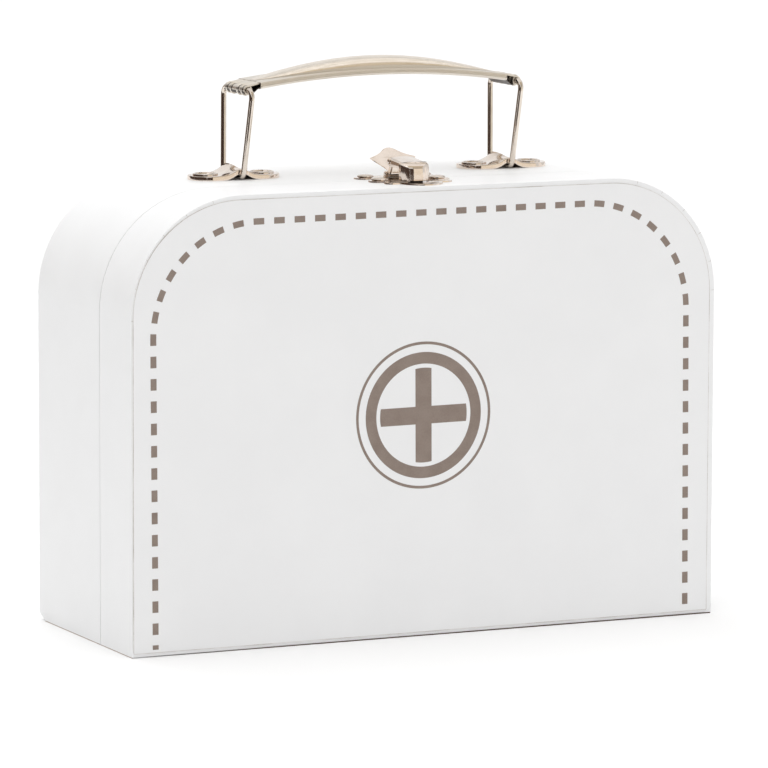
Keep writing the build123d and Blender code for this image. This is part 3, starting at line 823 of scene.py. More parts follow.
@dataclass
class PaperWork:
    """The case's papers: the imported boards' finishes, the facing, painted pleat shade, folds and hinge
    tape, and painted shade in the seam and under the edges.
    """

    form: CaseForm
    frame: dict
    facing_margins: Margins = (0.65, 2.1, 1.7, 1.25)
    facing_sheet: float = 0.25
    facing_corner: float = 0.3
    edge_width: float = 0.15
    edge_proud: float = 0.012
    edge_lap: float = 0.02
    edge_sunk: float = 0.01
    pleat_step: float = 15.0
    pleat_sway: float = 0.6
    pleat_width: float = 0.18
    pleat_taper: float = 0.4
    pleat_reach: Point2 = (1.2, 1.9)
    pleat_gap: float = 0.1
    pleat_height: float = 0.03
    rim_inset: float = 0.1
    rim_reach: Point2 = (0.16, -0.1)
    rim_sheet: float = 0.05
    brown_start: float = 6.0
    brown_full: float = 60.0
    brown_end: float = 0.4
    brown_heights: tuple[float, float, float] = (0.02, 0.38, 0.45)
    brown_depth: Point2 = (0.1, -0.03)
    fold_steps: int = 8
    fold_slack: float = 0.03
    fold_cut: float = 0.28
    seam_gap: float = 0.15
    seam_slope: float = 0.05
    blunt_start: float = 6.0
    blunt_end: float = 0.5
    side_shadow_inset: Point2 = (0.2, 0.05)
    side_shadow_low: float = 0.02
    side_shadow_gaps: Point2 = (0.3, 0.2)
    cover_margin: float = 2.0
    hinge_bend: float = 2.5
    hinge_rows: int = 14

    def build(self) -> None:
        """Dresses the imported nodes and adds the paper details."""
        self.dress()
        self.facing()
        self.pleats()
        self.hinge_tape()
        self.paint_seam_shade()
        self.paint_front_shadow()
        for name, body in (("lid", Body.LID), ("base", Body.BASE)):
            self.corner_folds(name, body)

    def dress(self) -> None:
        """Gives each packed paper and board node its finish."""
        finishes = {
            "back_facing": FACING_PAPER, "lid_wrap": WRAP_PAPER, "base_wrap": WRAP_PAPER,
            "front_panel": BOARD, "back_panel": BOARD, "lid_wall": BOARD, "base_wall": BOARD,
            "lid_floor": BOARD, "base_floor": BOARD, "lid_lining": LINING_PAPER, "base_lining": LINING_PAPER,
            "neck_collar": LINING_PAPER, "strike_washers": WASHER_STEEL, "latch_base_washers": WASHER_STEEL,
        }
        for node, finish in finishes.items():
            dress_node(self.frame, node, finish)

    def facing(self) -> None:
        """The sheet on the lid's front, with a dark line round its edge: the cut edge's darker tone and
        painted shade at the sheet's step.
        """
        y, back = self.form.front, self.form.front + self.facing_sheet
        outline = self.form.outline(self.facing_margins, self.facing_corner)
        sheet = Mesher()
        sheet.prism([(x, back, z) for x, z in outline], (0.0, -self.facing_sheet, 0.0))
        sheet.piece("front_facing_sheet", FACING_PAPER, Body.LID, Slot.FACING, ("front_facing",))
        outer, inner = [
            self.form.outline(tuple(margin + inset for margin in self.facing_margins), self.facing_corner)
            for inset in (-self.edge_lap, self.edge_width)]
        edge, proud = Mesher(), y - self.edge_proud
        rows = ((outer, back - self.edge_sunk), (outer, proud), (inner, proud), (inner, y + self.edge_sunk))
        edge.grid([[(x, depth, z) for x, z in path] for path, depth in rows], ring=True, loop=True)
        edge.piece("front_facing_edge_and_shade", EDGE_TONE_AND_SHADE, Body.LID, Slot.FACING)

    def pleats(self) -> None:
        """Thin dark marks of painted crease shade, for the small pleats where the wrap is turned in round the
        upper corners.
        """
        maker, dice = Mesher(), random.Random(7)
        form, y = self.form, self.form.front + self.facing_sheet
        radius, half = form.top_radius, self.pleat_width / 2
        for side in (-1, 1):
            centre = (side * (form.width / 2 - radius), form.height - radius)
            for i in range(round(90 / self.pleat_step)):
                angle = math.radians(i * self.pleat_step + dice.uniform(-self.pleat_sway, self.pleat_sway))
                radial = (side * math.cos(angle), math.sin(angle))
                along = (-radial[1], radial[0])
                reach, rim = dice.uniform(*self.pleat_reach), radius - self.pleat_gap
                corners = [(radius - reach, -half * self.pleat_taper), (rim, -half), (rim, half)]
                outline = []
                for r, a in corners:
                    x, z = (c + r * out + a * over for c, out, over in zip(centre, radial, along))
                    outline.append((x, y, z))
                maker.prism(outline, (0.0, -self.pleat_height, 0.0))
        maker.piece("corner_pleat_shade", PLEAT_SHADE_PAPER, Body.LID, Slot.WRAP)

    def paint_seam_shade(self) -> None:
        """A near-black strip in the seam, on the lid's rim: painted shade of the seam gap."""
        rim = Mesher()
        outline = self.form.outline((self.rim_inset,) * 4)
        rows = [[(x, self.form.seam - reach, z) for x, z in outline] for reach in self.rim_reach]
        rim.grid(rows, ring=True)
        rim.piece("lid_painted_seam_shade", SEAM_SHADE_BOARD, Body.LID, Slot.BOARD, thickness=self.rim_sheet)

    def paint_front_shadow(self) -> None:
        """The dark brown wedge under the lid's front that fades in at the left: painted contact shadow."""
        half, front = self.form.width / 2, self.form.front
        low, full, tall = self.brown_heights
        wedge = [(self.brown_start - half, low), (half - self.brown_end, low), (half - self.brown_end, tall),
                 (self.brown_full - half, full)]
        start, end = self.brown_depth
        maker = Mesher()
        maker.prism([(x, front + start, z) for x, z in wedge], (0.0, end - start, 0.0))
        maker.piece("lid_painted_front_shadow", FRONT_SHADOW_BOARD, Body.LID, Slot.WRAP)

    def corner_folds(self, name: str, body: Body) -> None:
        """The wrap folded round a half's lower corners, and under each a brown strip of painted contact
        shadow.

        Args:
            name: the half's name.
            body: the half's moving group.
        """
        form, half = self.form, self.form.width / 2
        reach, top = half - form.fold, form.cover + form.fold
        inside = body is Body.LID
        if inside:
            ends = (form.front, form.seam - self.seam_gap - self.seam_slope, form.seam - self.seam_gap)
        else:
            ends = (form.seam + self.seam_gap, form.back - self.blunt_start, form.back - self.blunt_end)
        start, end = ends[0] + self.side_shadow_gaps[0], ends[1] - self.side_shadow_gaps[1]
        folds, feet = Mesher(), Mesher()
        for side in (-1, 1):
            bend = [(side * (reach + x), top + z)
                    for x, z in arc((0.0, 0.0), form.fold - self.fold_slack, 270, 360, self.fold_steps)]
            sharp = (side * half, form.cover)
            blunt = (side * (half - self.fold_cut * form.fold), form.cover + self.fold_cut * form.fold)
            rows = []
            for y, corner in zip(ends, (sharp, sharp, sharp if inside else blunt)):
                section = (*bend, (side * half, top), corner, (side * reach, form.cover))
                rows.append([(x, y, z) for x, z in section])
            folds.grid(rows, ring=True, caps=True)
            inner, outer = (side * (half - inset) for inset in self.side_shadow_inset)
            foot = [(inner, self.side_shadow_low), (outer, self.side_shadow_low), (outer, form.cover),
                    (inner, form.cover)]
            feet.prism([(x, start, z) for x, z in foot], (0.0, end - start, 0.0))
        folds.piece(f"{name}_corner_folds", WRAP_PAPER, body, Slot.WRAP)
        feet.piece(f"{name}_painted_side_shadow", SIDE_SHADOW_BOARD, body, Slot.WRAP)

    def hinge_tape(self) -> None:
        """The paper sheet under the case, with close rows across the seam."""
        form, half = self.form, self.form.width / 2 - self.cover_margin
        front_end, back_end = form.seam - self.hinge_bend, form.seam + self.hinge_bend
        bend = [between(back_end, front_end, i / self.hinge_rows) for i in range(self.hinge_rows + 1)]
        stations = (form.back - self.cover_margin, *bend, form.front + self.cover_margin)
        section = ((-half, 0.0), (half, 0.0), (half, form.cover), (-half, form.cover))
        maker = Mesher()
        maker.grid([[(x, y, z) for x, z in section] for y in stations], ring=True, caps=True)
        tape = maker.piece("hinge_tape", HINGE_PAPER, None, Slot.HINGE,
                           ("hinge_cover_lid", "hinge_cover_base"))
        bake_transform(tape)


def dress_node(frame: dict, node: str, finish: Finish) -> None:
    """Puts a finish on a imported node.

    Args:
        frame: the loaded frame.
        node: the node's name.
        finish: its finish.
    """
    for holder in frame["nodes"][node].material_slots:
        holder.material = finish.material()
    LOG.info("%s: dressed in %s", node, finish.name)


@dataclass
class FrontPrint:
    """The printed border of dashes and the cross in two rings."""

    form: CaseForm
    left_x: float = -115.84
    right_x: float = 112.57
    top_z: float = 166.2
    corner: float = 43.5
    pitch: float = 8.577
    first: float = 11.535
    dashes: int = 60
    dash: Point2 = (4.45, 2.47)
    dash_steps: int = 4
    stub: Point2 = (3.55, 5.3)
    tilt: float = 0.0068
    tilt_height: float = 90.0
    emblem: Point2 = (-2.33, 87.0)
    thin_ring: Point2 = (27.73, 28.83)
    thick_ring: Point2 = (20.2, 24.74)
    ring_steps: int = 160
    arm_half: float = 3.45
    arm_radius: float = 18.6
    arm_steps: int = 8
    sunk: float = 0.01
    ink: float = 0.03

    def build(self) -> None:
        """Lays all the ink on the facing."""
        self.border()
        self.rings()
        self.cross()

    def tilted(self, x: float, z: float) -> Point2:
        """A point of the border with the print's slight turn."""
        return (x - self.tilt * (z - self.tilt_height), z + self.tilt * x)

    def along(self, length: float) -> tuple[Point2, Point2]:
        """The border's path: up the left, round, across, round and down the right.

        Args:
            length: the distance along the path.

        Returns:
            The point and the direction there.
        """
        rise, turn = self.top_z - self.corner, self.corner * math.pi / 2
        across = self.right_x - self.left_x - 2 * self.corner
        if length < rise:
            return (self.left_x, length), (0.0, 1.0)
        length -= rise
        if length < turn:
            a = length / self.corner
            return ((self.left_x + self.corner * (1 - math.cos(a)), rise + self.corner * math.sin(a)),
                    (math.sin(a), math.cos(a)))
        length -= turn
        if length < across:
            return (self.left_x + self.corner + length, self.top_z), (1.0, 0.0)
        length -= across
        if length < turn:
            a = length / self.corner
            return ((self.right_x - self.corner * (1 - math.sin(a)), rise + self.corner * math.cos(a)),
                    (math.cos(a), -math.sin(a)))
        length -= turn
        return (self.right_x, rise - length), (0.0, -1.0)

    def lay(self, maker: Mesher, outline: Sequence[Point2]) -> None:
        """Adds one closed patch of ink, a little sunk into the facing."""
        maker.prism([(x, self.form.front + self.sunk, z) for x, z in outline], (0.0, -self.ink, 0.0))

    def border(self) -> None:
        """The dashes, bent where the path bends, and the stub at the left foot."""
        maker, (length, wide) = Mesher(), self.dash
        half = wide / 2
        for i in range(self.dashes):
            middle = self.first + i * self.pitch
            left: list[Point2] = []
            right: list[Point2] = []
            for j in range(self.dash_steps + 1):
                (x, z), (dx, dz) = self.along(middle + length * (j / self.dash_steps - 0.5))
                left.append((x - dz * half, z + dx * half))
                right.append((x + dz * half, z - dx * half))
            self.lay(maker, [self.tilted(x, z) for x, z in left + right[::-1]])
        low, high = self.stub
        stub = [(self.left_x - half, low), (self.left_x + half, low), (self.left_x + half, high),
                (self.left_x - half, high)]
        self.lay(maker, [self.tilted(x, z) for x, z in stub])
        maker.piece("printed_dashes", TAUPE_INK, Body.LID, Slot.FACING)

    def rings(self) -> None:
        """The two rings."""
        maker, (middle_x, middle_z) = Mesher(), self.emblem
        under = self.form.front + self.sunk
        over = under - self.ink
        for inner, outer in (self.thin_ring, self.thick_ring):
            rows = []
            for radius, y in ((inner, under), (inner, over), (outer, over), (outer, under)):
                circle = arc((middle_x, middle_z), radius, 0, 360, self.ring_steps)[:-1]
                rows.append([(x, y, z) for x, z in circle])
            maker.grid(rows, ring=True, loop=True)
        maker.piece("printed_rings", TAUPE_INK, Body.LID, Slot.FACING)

    def cross(self) -> None:
        """The cross, its four ends on one circle."""
        spread = math.degrees(math.asin(self.arm_half / self.arm_radius))
        diagonal = self.arm_half * math.sqrt(2)
        outline: list[Point2] = []
        for middle in (0.0, 90.0, 180.0, 270.0):
            outline += arc((0.0, 0.0), self.arm_radius, middle - spread, middle + spread, self.arm_steps)
            notch = math.radians(middle + 45)
            outline.append((diagonal * math.cos(notch), diagonal * math.sin(notch)))
        maker, (middle_x, middle_z) = Mesher(), self.emblem
        self.lay(maker, [(middle_x + x - self.tilt * z, middle_z + z + self.tilt * x) for x, z in outline])
        maker.piece("printed_cross", TAUPE_INK, Body.LID, Slot.FACING)


# ---------------------------------------------------------------- outlines of stamped plates


def offset_profile(profile: Sequence[Point2], distance: float) -> list[Point2]:
    """A flat profile moved to its right-hand side by a distance.

    Args:
        profile: points in order.
        distance: how far to move.

    Returns:
        As many points.
    """
    moved = []
    for i, (a, b) in enumerate(profile):
        first, last = profile[max(i - 1, 0)], profile[min(i + 1, len(profile) - 1)]
        da, db = last[0] - first[0], last[1] - first[1]
        size = math.hypot(da, db) or 1.0
        moved.append((a + db / size * distance, b - da / size * distance))
    return moved


@dataclass(frozen=True)
class Disc:
    """A round lobe of a plate."""

    x: float
    y: float
    radius: float

    def reach(self, centre: Point2, direction: Point2) -> float:
        """How far the lobe reaches from a point.

        Args:
            centre: the point.
            direction: the unit vector to look along.

        Returns:
            The distance to the lobe's far edge, or 0 where it is missed.
        """
        dx, dy = direction
        px, py = self.x - centre[0], self.y - centre[1]
        inside = self.radius ** 2 - (px * dy - py * dx) ** 2
        return px * dx + py * dy + math.sqrt(inside) if inside >= 0 else 0.0


@dataclass(frozen=True)
class Box:
    """A rectangle of a plate, its sides along the axes."""

    left: float
    right: float
    front: float
    back: float

    def reach(self, centre: Point2, direction: Point2) -> float:
        """How far the rectangle reaches from a point inside it.

        Args:
            centre: the point.
            direction: the unit vector to look along.

        Returns:
            The distance to the rectangle's edge.
        """
        limits = []
        for step, low, high, start in ((direction[0], self.left, self.right, centre[0]),
                                       (direction[1], self.front, self.back, centre[1])):
            if abs(step) > TINY:
                limits.append(((high if step > 0 else low) - start) / step)
        return min(limits)


Lobes = Sequence[Union[Disc, Box]]


def radial_outline(lobes: Lobes, centre: Point2, points: int = 200, soften: int = 1) -> list[Point2]:
    """The outline of overlapping discs and boxes, seen from a point inside them.

    Args:
        lobes: the discs and boxes.
        centre: the point.
        points: how many points the outline gets.
        soften: how many times neighbours are averaged.

    Returns:
        The outline's points.
    """
    rays = []
    for i in range(points):
        angle = 2 * math.pi * i / points
        rays.append((math.cos(angle), math.sin(angle)))
    reach = [max(0.0, *(lobe.reach(centre, ray) for lobe in lobes)) for ray in rays]
    for _ in range(soften):
        reach = [(reach[i - 1] + 2 * reach[i] + reach[(i + 1) % points]) / 4 for i in range(points)]
    return [(centre[0] + far * dx, centre[1] + far * dy) for far, (dx, dy) in zip(reach, rays)]


def toward(outline: Sequence[Point2], centre: Point2, inset: float) -> list[Point2]:
    """An outline pulled toward a point by a distance.

    Args:
        outline: its points.
        centre: the point to pull toward.
        inset: how far each point moves.

    Returns:
        As many points.
    """
    pulled = []
    for x, y in outline:
        dx, dy = x - centre[0], y - centre[1]
        share = 1 - inset / math.hypot(dx, dy)
        pulled.append((centre[0] + dx * share, centre[1] + dy * share))
    return pulled


# ---------------------------------------------------------------- the handle


@dataclass
class StampedStrap:
    """A handle strap: two round-ended feet, each with a low rimmed rivet, and a hump over the wire."""

    middle: Point3
    side: str
    half_length: float = 18.9
    half_width: float = 8.5
    least_half_width: float = 0.2
    sheet: float = 1.65
    front_crest: float = 2.5
    front_slope: float = 3.7
    front_power: float = 3.0
    back_crest: float = 3.7
    back_reach: float = 9.0
    back_power: float = 2.2
    blend_end: float = 0.4
    under_gain: float = 1.05
    under_drop: float = 0.25
    edge: float = 0.35
    edge_fall: float = 0.3
    end_steps: int = 14
    run_steps: int = 22
    crest_gap: float = 0.12
    rivet_half_pitch: float = 12.0
    rivet_head: Sequence[Point2] = (
        (5.0, 1.5), (5.0, 2.0), (4.9, 2.25), (4.65, 2.38), (4.4, 2.38), (4.15, 2.2), (3.95, 1.8),
        (3.75, 1.72), (3.0, 1.85), (2.0, 1.98), (0.9, 2.02), (0.0, 2.02))
    rivet_tail: Sequence[Point2] = (
        (1.5, 1.2), (1.5, -2.6), (2.2, -2.65), (2.2, -3.0), (1.6, -3.15), (0.0, -3.2))
    washer: Sequence[Point2] = (
        (1.5, -2.1), (2.75, -2.1), (2.8, -2.15), (2.8, -2.55), (2.75, -2.6), (1.5, -2.6))

    def build(self) -> None:
        """Makes the strap, its rivets and their washers."""
        self.plate()
        self.rivets()
        self.washers()

    def rise(self, x: float, y: float) -> float:
        """How far the hump stands over the feet: round at the front, pinched to a ridge at the back.

        Args:
            x: the distance from the strap's middle along it.
            y: the distance from the strap's middle across it.

        Returns:
            The height.
        """
        front = self.front_crest / (1 + (abs(x) / self.front_slope) ** self.front_power)
        back = self.back_crest * max(1 - abs(x) / self.back_reach, 0.0) ** self.back_power
        return between(front, back, ease(-self.half_width, self.half_width * self.blend_end, y))

    def half_at(self, x: float) -> float:
        """Half of the strap's width at a distance from the middle, round at the ends."""
        past = max(abs(x) - (self.half_length - self.half_width), 0.0)
        return math.sqrt(max(self.half_width ** 2 - past ** 2, self.least_half_width ** 2))

    def stations(self) -> list[float]:
        """Where the strap's sections stand, closer together round the ends.

        Returns:
            The distances from the middle, in order.
        """
        flat = self.half_length - self.half_width
        left = []
        for i in range(self.end_steps + 1):
            angle = math.pi / 2 * i / self.end_steps
            left.append(self.half_width * (1 - math.cos(angle)) - self.half_length)
        left += [-flat * (1 - i / self.run_steps) for i in range(1, self.run_steps)]
        left.append(-self.crest_gap)
        return left + [0.0] + [-x for x in reversed(left)]

    def section(self, x: float) -> list[Point3]:
        """The closed ring of the sheet's section at a distance from the middle.

        Args:
            x: the distance.

        Returns:
            The ring's points: the top with its rounded edges, and the underside.
        """
        half = self.half_at(x)
        edge = min(self.edge, half / 2)
        fall = edge * self.edge_fall
        across = [(-half, -edge), (fall - half, -fall), (edge - half, 0.0)]
        across += [(half * quarter / 4, 0.0) for quarter in range(-3, 4)]
        across += [(half - edge, 0.0), (half - fall, -fall), (half, -edge)]
        top = [(y, self.sheet + self.rise(x, y) + drop) for y, drop in across]
        under = [(y, max(0.0, self.rise(x, y) * self.under_gain - self.under_drop))
                 for y, _ in reversed(across)]
        return [(self.middle[0] + x, self.middle[1] + y, self.middle[2] + z) for y, z in top + under]

    def plate(self) -> None:
        """The strap's sheet."""
        maker = Mesher()
        maker.grid([self.section(x) for x in self.stations()], ring=True, caps=True)
        maker.piece(f"stamped_strap_{self.side}", NICKEL, Body.BASE, Slot.STRAP, (f"strap_{self.side}",),
                    crease_angle=26.0)

    def feet(self) -> list[Point3]:
        """The middles of the two feet."""
        x, y, z = self.middle
        return [(x + side * self.rivet_half_pitch, y, z) for side in (-1, 1)]

    def rivets(self) -> None:
        """The two rivets, with the clenched tails inside."""
        maker = Mesher()
        for foot in self.feet():
            maker.lathe(self.rivet_head, foot)
            maker.lathe(self.rivet_tail, foot, sides=24)
        maker.piece(f"strap_rivets_{self.side}_struck", NICKEL_RIVET, Body.BASE, Slot.RIVET,
                    (f"strap_rivets_{self.side}",))

    def washers(self) -> None:
        """The washers that the rivets' tails are clenched over."""
        maker = Mesher()
        for foot in self.feet():
            maker.lathe(self.washer, foot, sides=32)
        maker.piece(f"strap_washers_{self.side}_turned", WASHER_STEEL, Body.BASE, Slot.WASHER,
                    (f"strap_washers_{self.side}",))


@dataclass
class StampedGrip:
    """The grip: an arched sheet with a pointed boss, fluted sides, curled edges and ribbed, rolled ends."""

    middle: Point3
    half_length: float = 53.4
    half_width: float = 11.0
    stations: int = 72
    sheet: float = 0.6
    low_end: float = 0.2
    low_middle: float = 4.15
    plate_end: float = 3.0
    plate_middle: float = 6.7
    tall_side: float = 3.4
    curl: Sequence[Point2] = (
        (-6.9, 1.0), (-6.95, 0.45), (-7.4, 0.05), (-8.6, -0.02), (-9.8, 0.1), (-10.7, 0.4), (-10.95, 0.8),
        (-11.0, 1.35), (-10.8, 1.45), (-11.0, 1.6))
    side_foot: float = 1.6
    side_head: float = 0.55
    shoulder_curve: Sequence[Point2] = ((0.15, 0.25), (0.5, 0.08))
    flute_places: Point2 = (0.34, 0.7)
    flute_mouth: float = 0.14
    flute_floor: float = 0.05
    flute_depth: float = 0.2
    shoulder: float = 1.0
    plate_shares: Sequence[float] = (0.3, 0.65, 0.9)
    crease_gap: float = 0.25
    crease: Sequence[Point2] = ((0.3, 0.04), (0.12, 0.32), (0.0, 0.1))
    boss_half: float = 53.0
    boss_width: float = 8.9
    boss_taper: float = 0.4
    boss_least: float = 0.05
    boss_height: float = 4.45
    boss_slope: float = 1.15
    crown_power: float = 0.8
    crown_steps: int = 7
    skin_inset: float = 0.6
    skin_steps: int = 60
    skin_sheet: float = 0.04
    skin_lift: float = 0.05
    wire_half_span: float = 58.3
    tab: float = 1.2
    tab_drop: float = 0.05
    roll_radius: float = 2.05
    roll_half: float = 9.7
    roll_bore: float = 1.25
    roll_start: float = 95.0
    roll_turn: float = 330.0
    roll_steps: int = 22
    roll_rows: int = 80
    ribs: Sequence[float] = (-7.2, -3.2, 3.2, 7.2)
    rib_height: float = 0.6
    rib_half: float = 0.38
    rib_valley: float = 0.28
    groove_offset: float = 0.85
    groove_half: float = 0.22
    groove_depth: float = 0.2
    groove_start: float = 105.0
    groove_turn: float = 270.0
    groove_steps: int = 18
    tail_inset: float = 0.5
    wall_inset: float = 1.2
    wall_sheet: float = 0.15
    seam_angles: Point2 = (-16.0, -54.0)
    seam_depths: Point2 = (0.02, 0.5)
    seam_over: float = 0.3

    def build(self) -> None:
        """Makes the grip's body and its two rolled ends as one piece, and the details on it."""
        maker = Mesher()
        places = (self.half_length * (2 * i / self.stations - 1) for i in range(self.stations + 1))
        maker.grid([self.section(x) for x in places], ring=True, caps=True)
        for side in (-1, 1):
            self.rolled_end(maker, side)
        maker.piece("stamped_grip", BRUSHED_NICKEL, Body.GRIP, Slot.GRIP, ("grip",), crease_angle=24.0)
        self.brushed_boss()
        self.paint_inner_shade()
        self.paint_groove_shade()

    def place(self, x: float, y: float, z: float) -> Point3:
        """A point of the grip in the part's frame."""
        return self.middle[0] + x, self.middle[1] + y, self.middle[2] + z

    def arch(self, x: float) -> float:
        """How far the arch has risen at a distance from the middle, from 0 at the ends to 1."""
        return 1 - (x / self.half_length) ** 2

    def boss_at(self, x: float) -> tuple[float, float, float]:
        """The boss at a distance from the middle.

        Args:
            x: the distance.

        Returns:
            The plate's height, the boss's half width and its rise.
        """
        left = 1 - min(abs(x) / self.boss_half, 1.0) ** 2
        plate = between(self.plate_end, self.plate_middle, self.arch(x))
        half_width = max(self.boss_width * left ** self.boss_taper, self.boss_least)
        return plate, half_width, self.boss_height * left ** self.boss_slope

    def crown(self, x: float, angles: Sequence[float], lift: float = 0.0) -> list[Point2]:
        """Points over the boss's crown as (y, z).

        Args:
            x: the distance from the grip's middle.
            angles: where the points stand, from 0 at the boss's front foot to pi at its back foot.
            lift: how far over the sheet they are.

        Returns:
            The points.
        """
        plate, boss, rise = self.boss_at(x)
        return [(-boss * math.cos(a), plate + rise * math.sin(a) ** self.crown_power + lift) for a in angles]

    def brushed_boss(self) -> None:
        """The boss's brushed skin, duller than the polished plate round it."""
        maker, rows = Mesher(), []
        angles = [math.pi * j / 18 for j in range(1, 18)]
        for i in range(self.skin_steps + 1):
            x = (self.boss_half - self.skin_inset) * (2 * i / self.skin_steps - 1)
            rows.append([self.place(x, y, z) for y, z in self.crown(x, angles, self.skin_lift)])
        maker.grid(rows)
        maker.piece("grip_boss_skin", BRUSHED_BOSS, Body.GRIP, Slot.GRIP, thickness=self.skin_sheet)

    def side_profile(self, low: float, plate: float) -> list[Point2]:
        """The front side from its curled lower edge to the plate, with its two flutes.

        Args:
            low: the height of the lower edge.
            plate: the height of the plate.

        Returns:
            The points as (y, z).
        """
        scale, face = (plate - low) / self.tall_side, -self.half_width
        foot, head = low + self.side_foot * scale, plate - self.side_head * scale
        tall = head - foot
        side = [(y, low + z * scale) for y, z in self.curl]
        for portion in self.flute_places:
            middle, floor = foot + tall * portion, face + self.flute_depth
            side += [(face, middle - self.flute_mouth * tall), (floor, middle - self.flute_floor * tall),
                     (floor, middle + self.flute_floor * tall), (face, middle + self.flute_mouth * tall)]
        (first_in, first_up), (last_in, last_down) = self.shoulder_curve
        side += [(face, head), (face + first_in, head + first_up), (face + last_in, plate - last_down),
                 (face + self.shoulder, plate)]
        return side

    def section(self, x: float) -> list[Point3]:
        """The closed ring of the sheet's section at a distance from the middle.

        Args:
            x: the distance.

        Returns:
            The ring's points, over the outside and back under it.
        """
        plate, boss, _ = self.boss_at(x)
        half = self.side_profile(between(self.low_end, self.low_middle, self.arch(x)), plate)
        edge = self.shoulder - self.half_width
        half += [(between(edge, -boss - self.crease_gap, share), plate) for share in self.plate_shares]
        half += [(-boss - out, plate - deep) for out, deep in self.crease]
        half += self.crown(x, [math.pi / 2 * i / self.crown_steps for i in range(1, self.crown_steps + 1)])
        outer = half + [(-y, z) for y, z in reversed(half[:-1])]
        inner = offset_profile(outer, self.sheet)
        return [self.place(x, y, z) for y, z in outer + inner[::-1]]

    def round_wire(self, side: int, radius: float, start: float, turn: float, steps: int) -> list[Point2]:
        """Points round one of the wires as (x, z).

        Args:
            side: -1 for the left wire, 1 for the right.
            radius: their distance from the wire's middle.
            start: the angle of the first, from straight outward, in degrees.
            turn: how far round they go, outward and down.
            steps: how many steps they take.

        Returns:
            The points.
        """
        points = arc((self.wire_half_span, 0.0), radius, start, start - turn, steps)
        return [(side * x, z) for x, z in points]

    def rolled_end(self, maker: Mesher, side: int) -> None:
        """One end: the tab and the ribbed roll round the wire.

        Args:
            maker: what the end is added to.
            side: -1 for the left end, 1 for the right.
        """
        start = side * (self.half_length - self.tab)
        plate, _, _ = self.boss_at(start)
        tail = [(start, plate - self.sheet), (start, plate - self.tab_drop)]
        bore = self.round_wire(side, self.roll_bore, self.roll_start, self.roll_turn, self.roll_steps)
        rows = []
        for i in range(self.roll_rows + 1):
            y = self.roll_half * (2 * i / self.roll_rows - 1)
            rib = max(math.exp(-((y - place) / self.rib_half) ** 2) for place in self.ribs)
            radius = self.roll_radius + self.rib_height * rib - self.rib_valley
            roll = self.round_wire(side, radius, self.roll_start, self.roll_turn, self.roll_steps)
            rows.append([self.place(x, y, z) for x, z in tail + roll + bore[::-1]])
        maker.grid(rows, ring=True, caps=True)

    def paint_groove_shade(self) -> None:
        """Dark strips beside each rib of the two rolls: painted shade in the grooves there."""
        maker = Mesher()
        for side in (-1, 1):
            groove = self.round_wire(side, self.roll_radius - self.groove_depth, self.groove_start,
                                     self.groove_turn, self.groove_steps)
            for rib in self.ribs:
                for middle in (rib - self.groove_offset, rib + self.groove_offset):
                    edges = (middle - self.groove_half, middle + self.groove_half)
                    maker.grid([[self.place(x, y, z) for x, z in groove] for y in edges])
        maker.piece("grip_groove_shade", DARK_SHADE_STEEL, Body.GRIP, Slot.GRIP, thickness=self.skin_sheet)

    def paint_inner_shade(self) -> None:
        """Dark sheets inside the hollow, painted shade: the rolls' tails, the far side and the seam under
        each roll.
        """
        maker, half = Mesher(), self.roll_half - self.tail_inset
        end, start = self.wire_half_span, self.half_length
        tail = [(end - 1.2, -1.7), (end - 2.4, -1.0), (start - 0.4, 1.5), (start - 8.0, 3.2),
                (start - 8.0, 2.8), (start - 0.4, 1.1), (end - 2.4, -1.4), (end - 1.2, -2.0)]
        wall = [(start - 0.2, 0.9), (start - 12.0, 2.2), (start - 12.0, 3.6), (start - 0.2, 2.4)]
        top, foot = self.seam_angles
        shallow, deep = self.seam_depths
        seam = arc((end, 0.0), self.roll_radius - shallow, top, foot, 5)
        seam += arc((end, 0.0), self.roll_radius - deep, foot, top, 5)
        bands = ((tail, -half, 2 * half), (wall, self.half_width - self.wall_inset, self.wall_sheet),
                 (seam, -half - self.seam_over, 2 * (half + self.seam_over)))
        for side in (-1, 1):
            for outline, y, depth in bands:
                maker.prism([self.place(side * x, y, z) for x, z in outline], (0.0, depth, 0.0))
        maker.piece("grip_inner_shade", DARK_SHADE_STEEL, Body.GRIP, Slot.GRIP)


@dataclass
class WireHandle:
    """The folding handle: two straps, two bent wires and the grip."""

    frame: dict
    middle_x: float = 1.9
    middle_y: float = 13.0
    top: float = 176.0
    half_span: float = 58.3
    wire_height: float = 1.4
    bail_height: float = 33.8
    lean: float = 3.5

    def build(self) -> None:
        """Makes the straps and the grip, and dresses the wires."""
        for name, side in (("left", -1), ("right", 1)):
            StampedStrap((self.middle_x + side * self.half_span, self.middle_y, self.top), name).build()
            dress_node(self.frame, f"bail_{name}", NICKEL_WIRE)
        lean = math.radians(self.lean)
        middle = (self.middle_x + self.bail_height * math.sin(lean), self.middle_y,
                  self.top + self.wire_height + self.bail_height * math.cos(lean))
        StampedGrip(middle, wire_half_span=self.half_span).build()


# ---------------------------------------------------------------- the latch


def up_slope(point: Point2, angle: float, distance: float) -> Point2:
    """A point moved along a slope, its angle in degrees."""
    tilt = math.radians(angle)
    return point[0] + math.cos(tilt) * distance, point[1] + math.sin(tilt) * distance


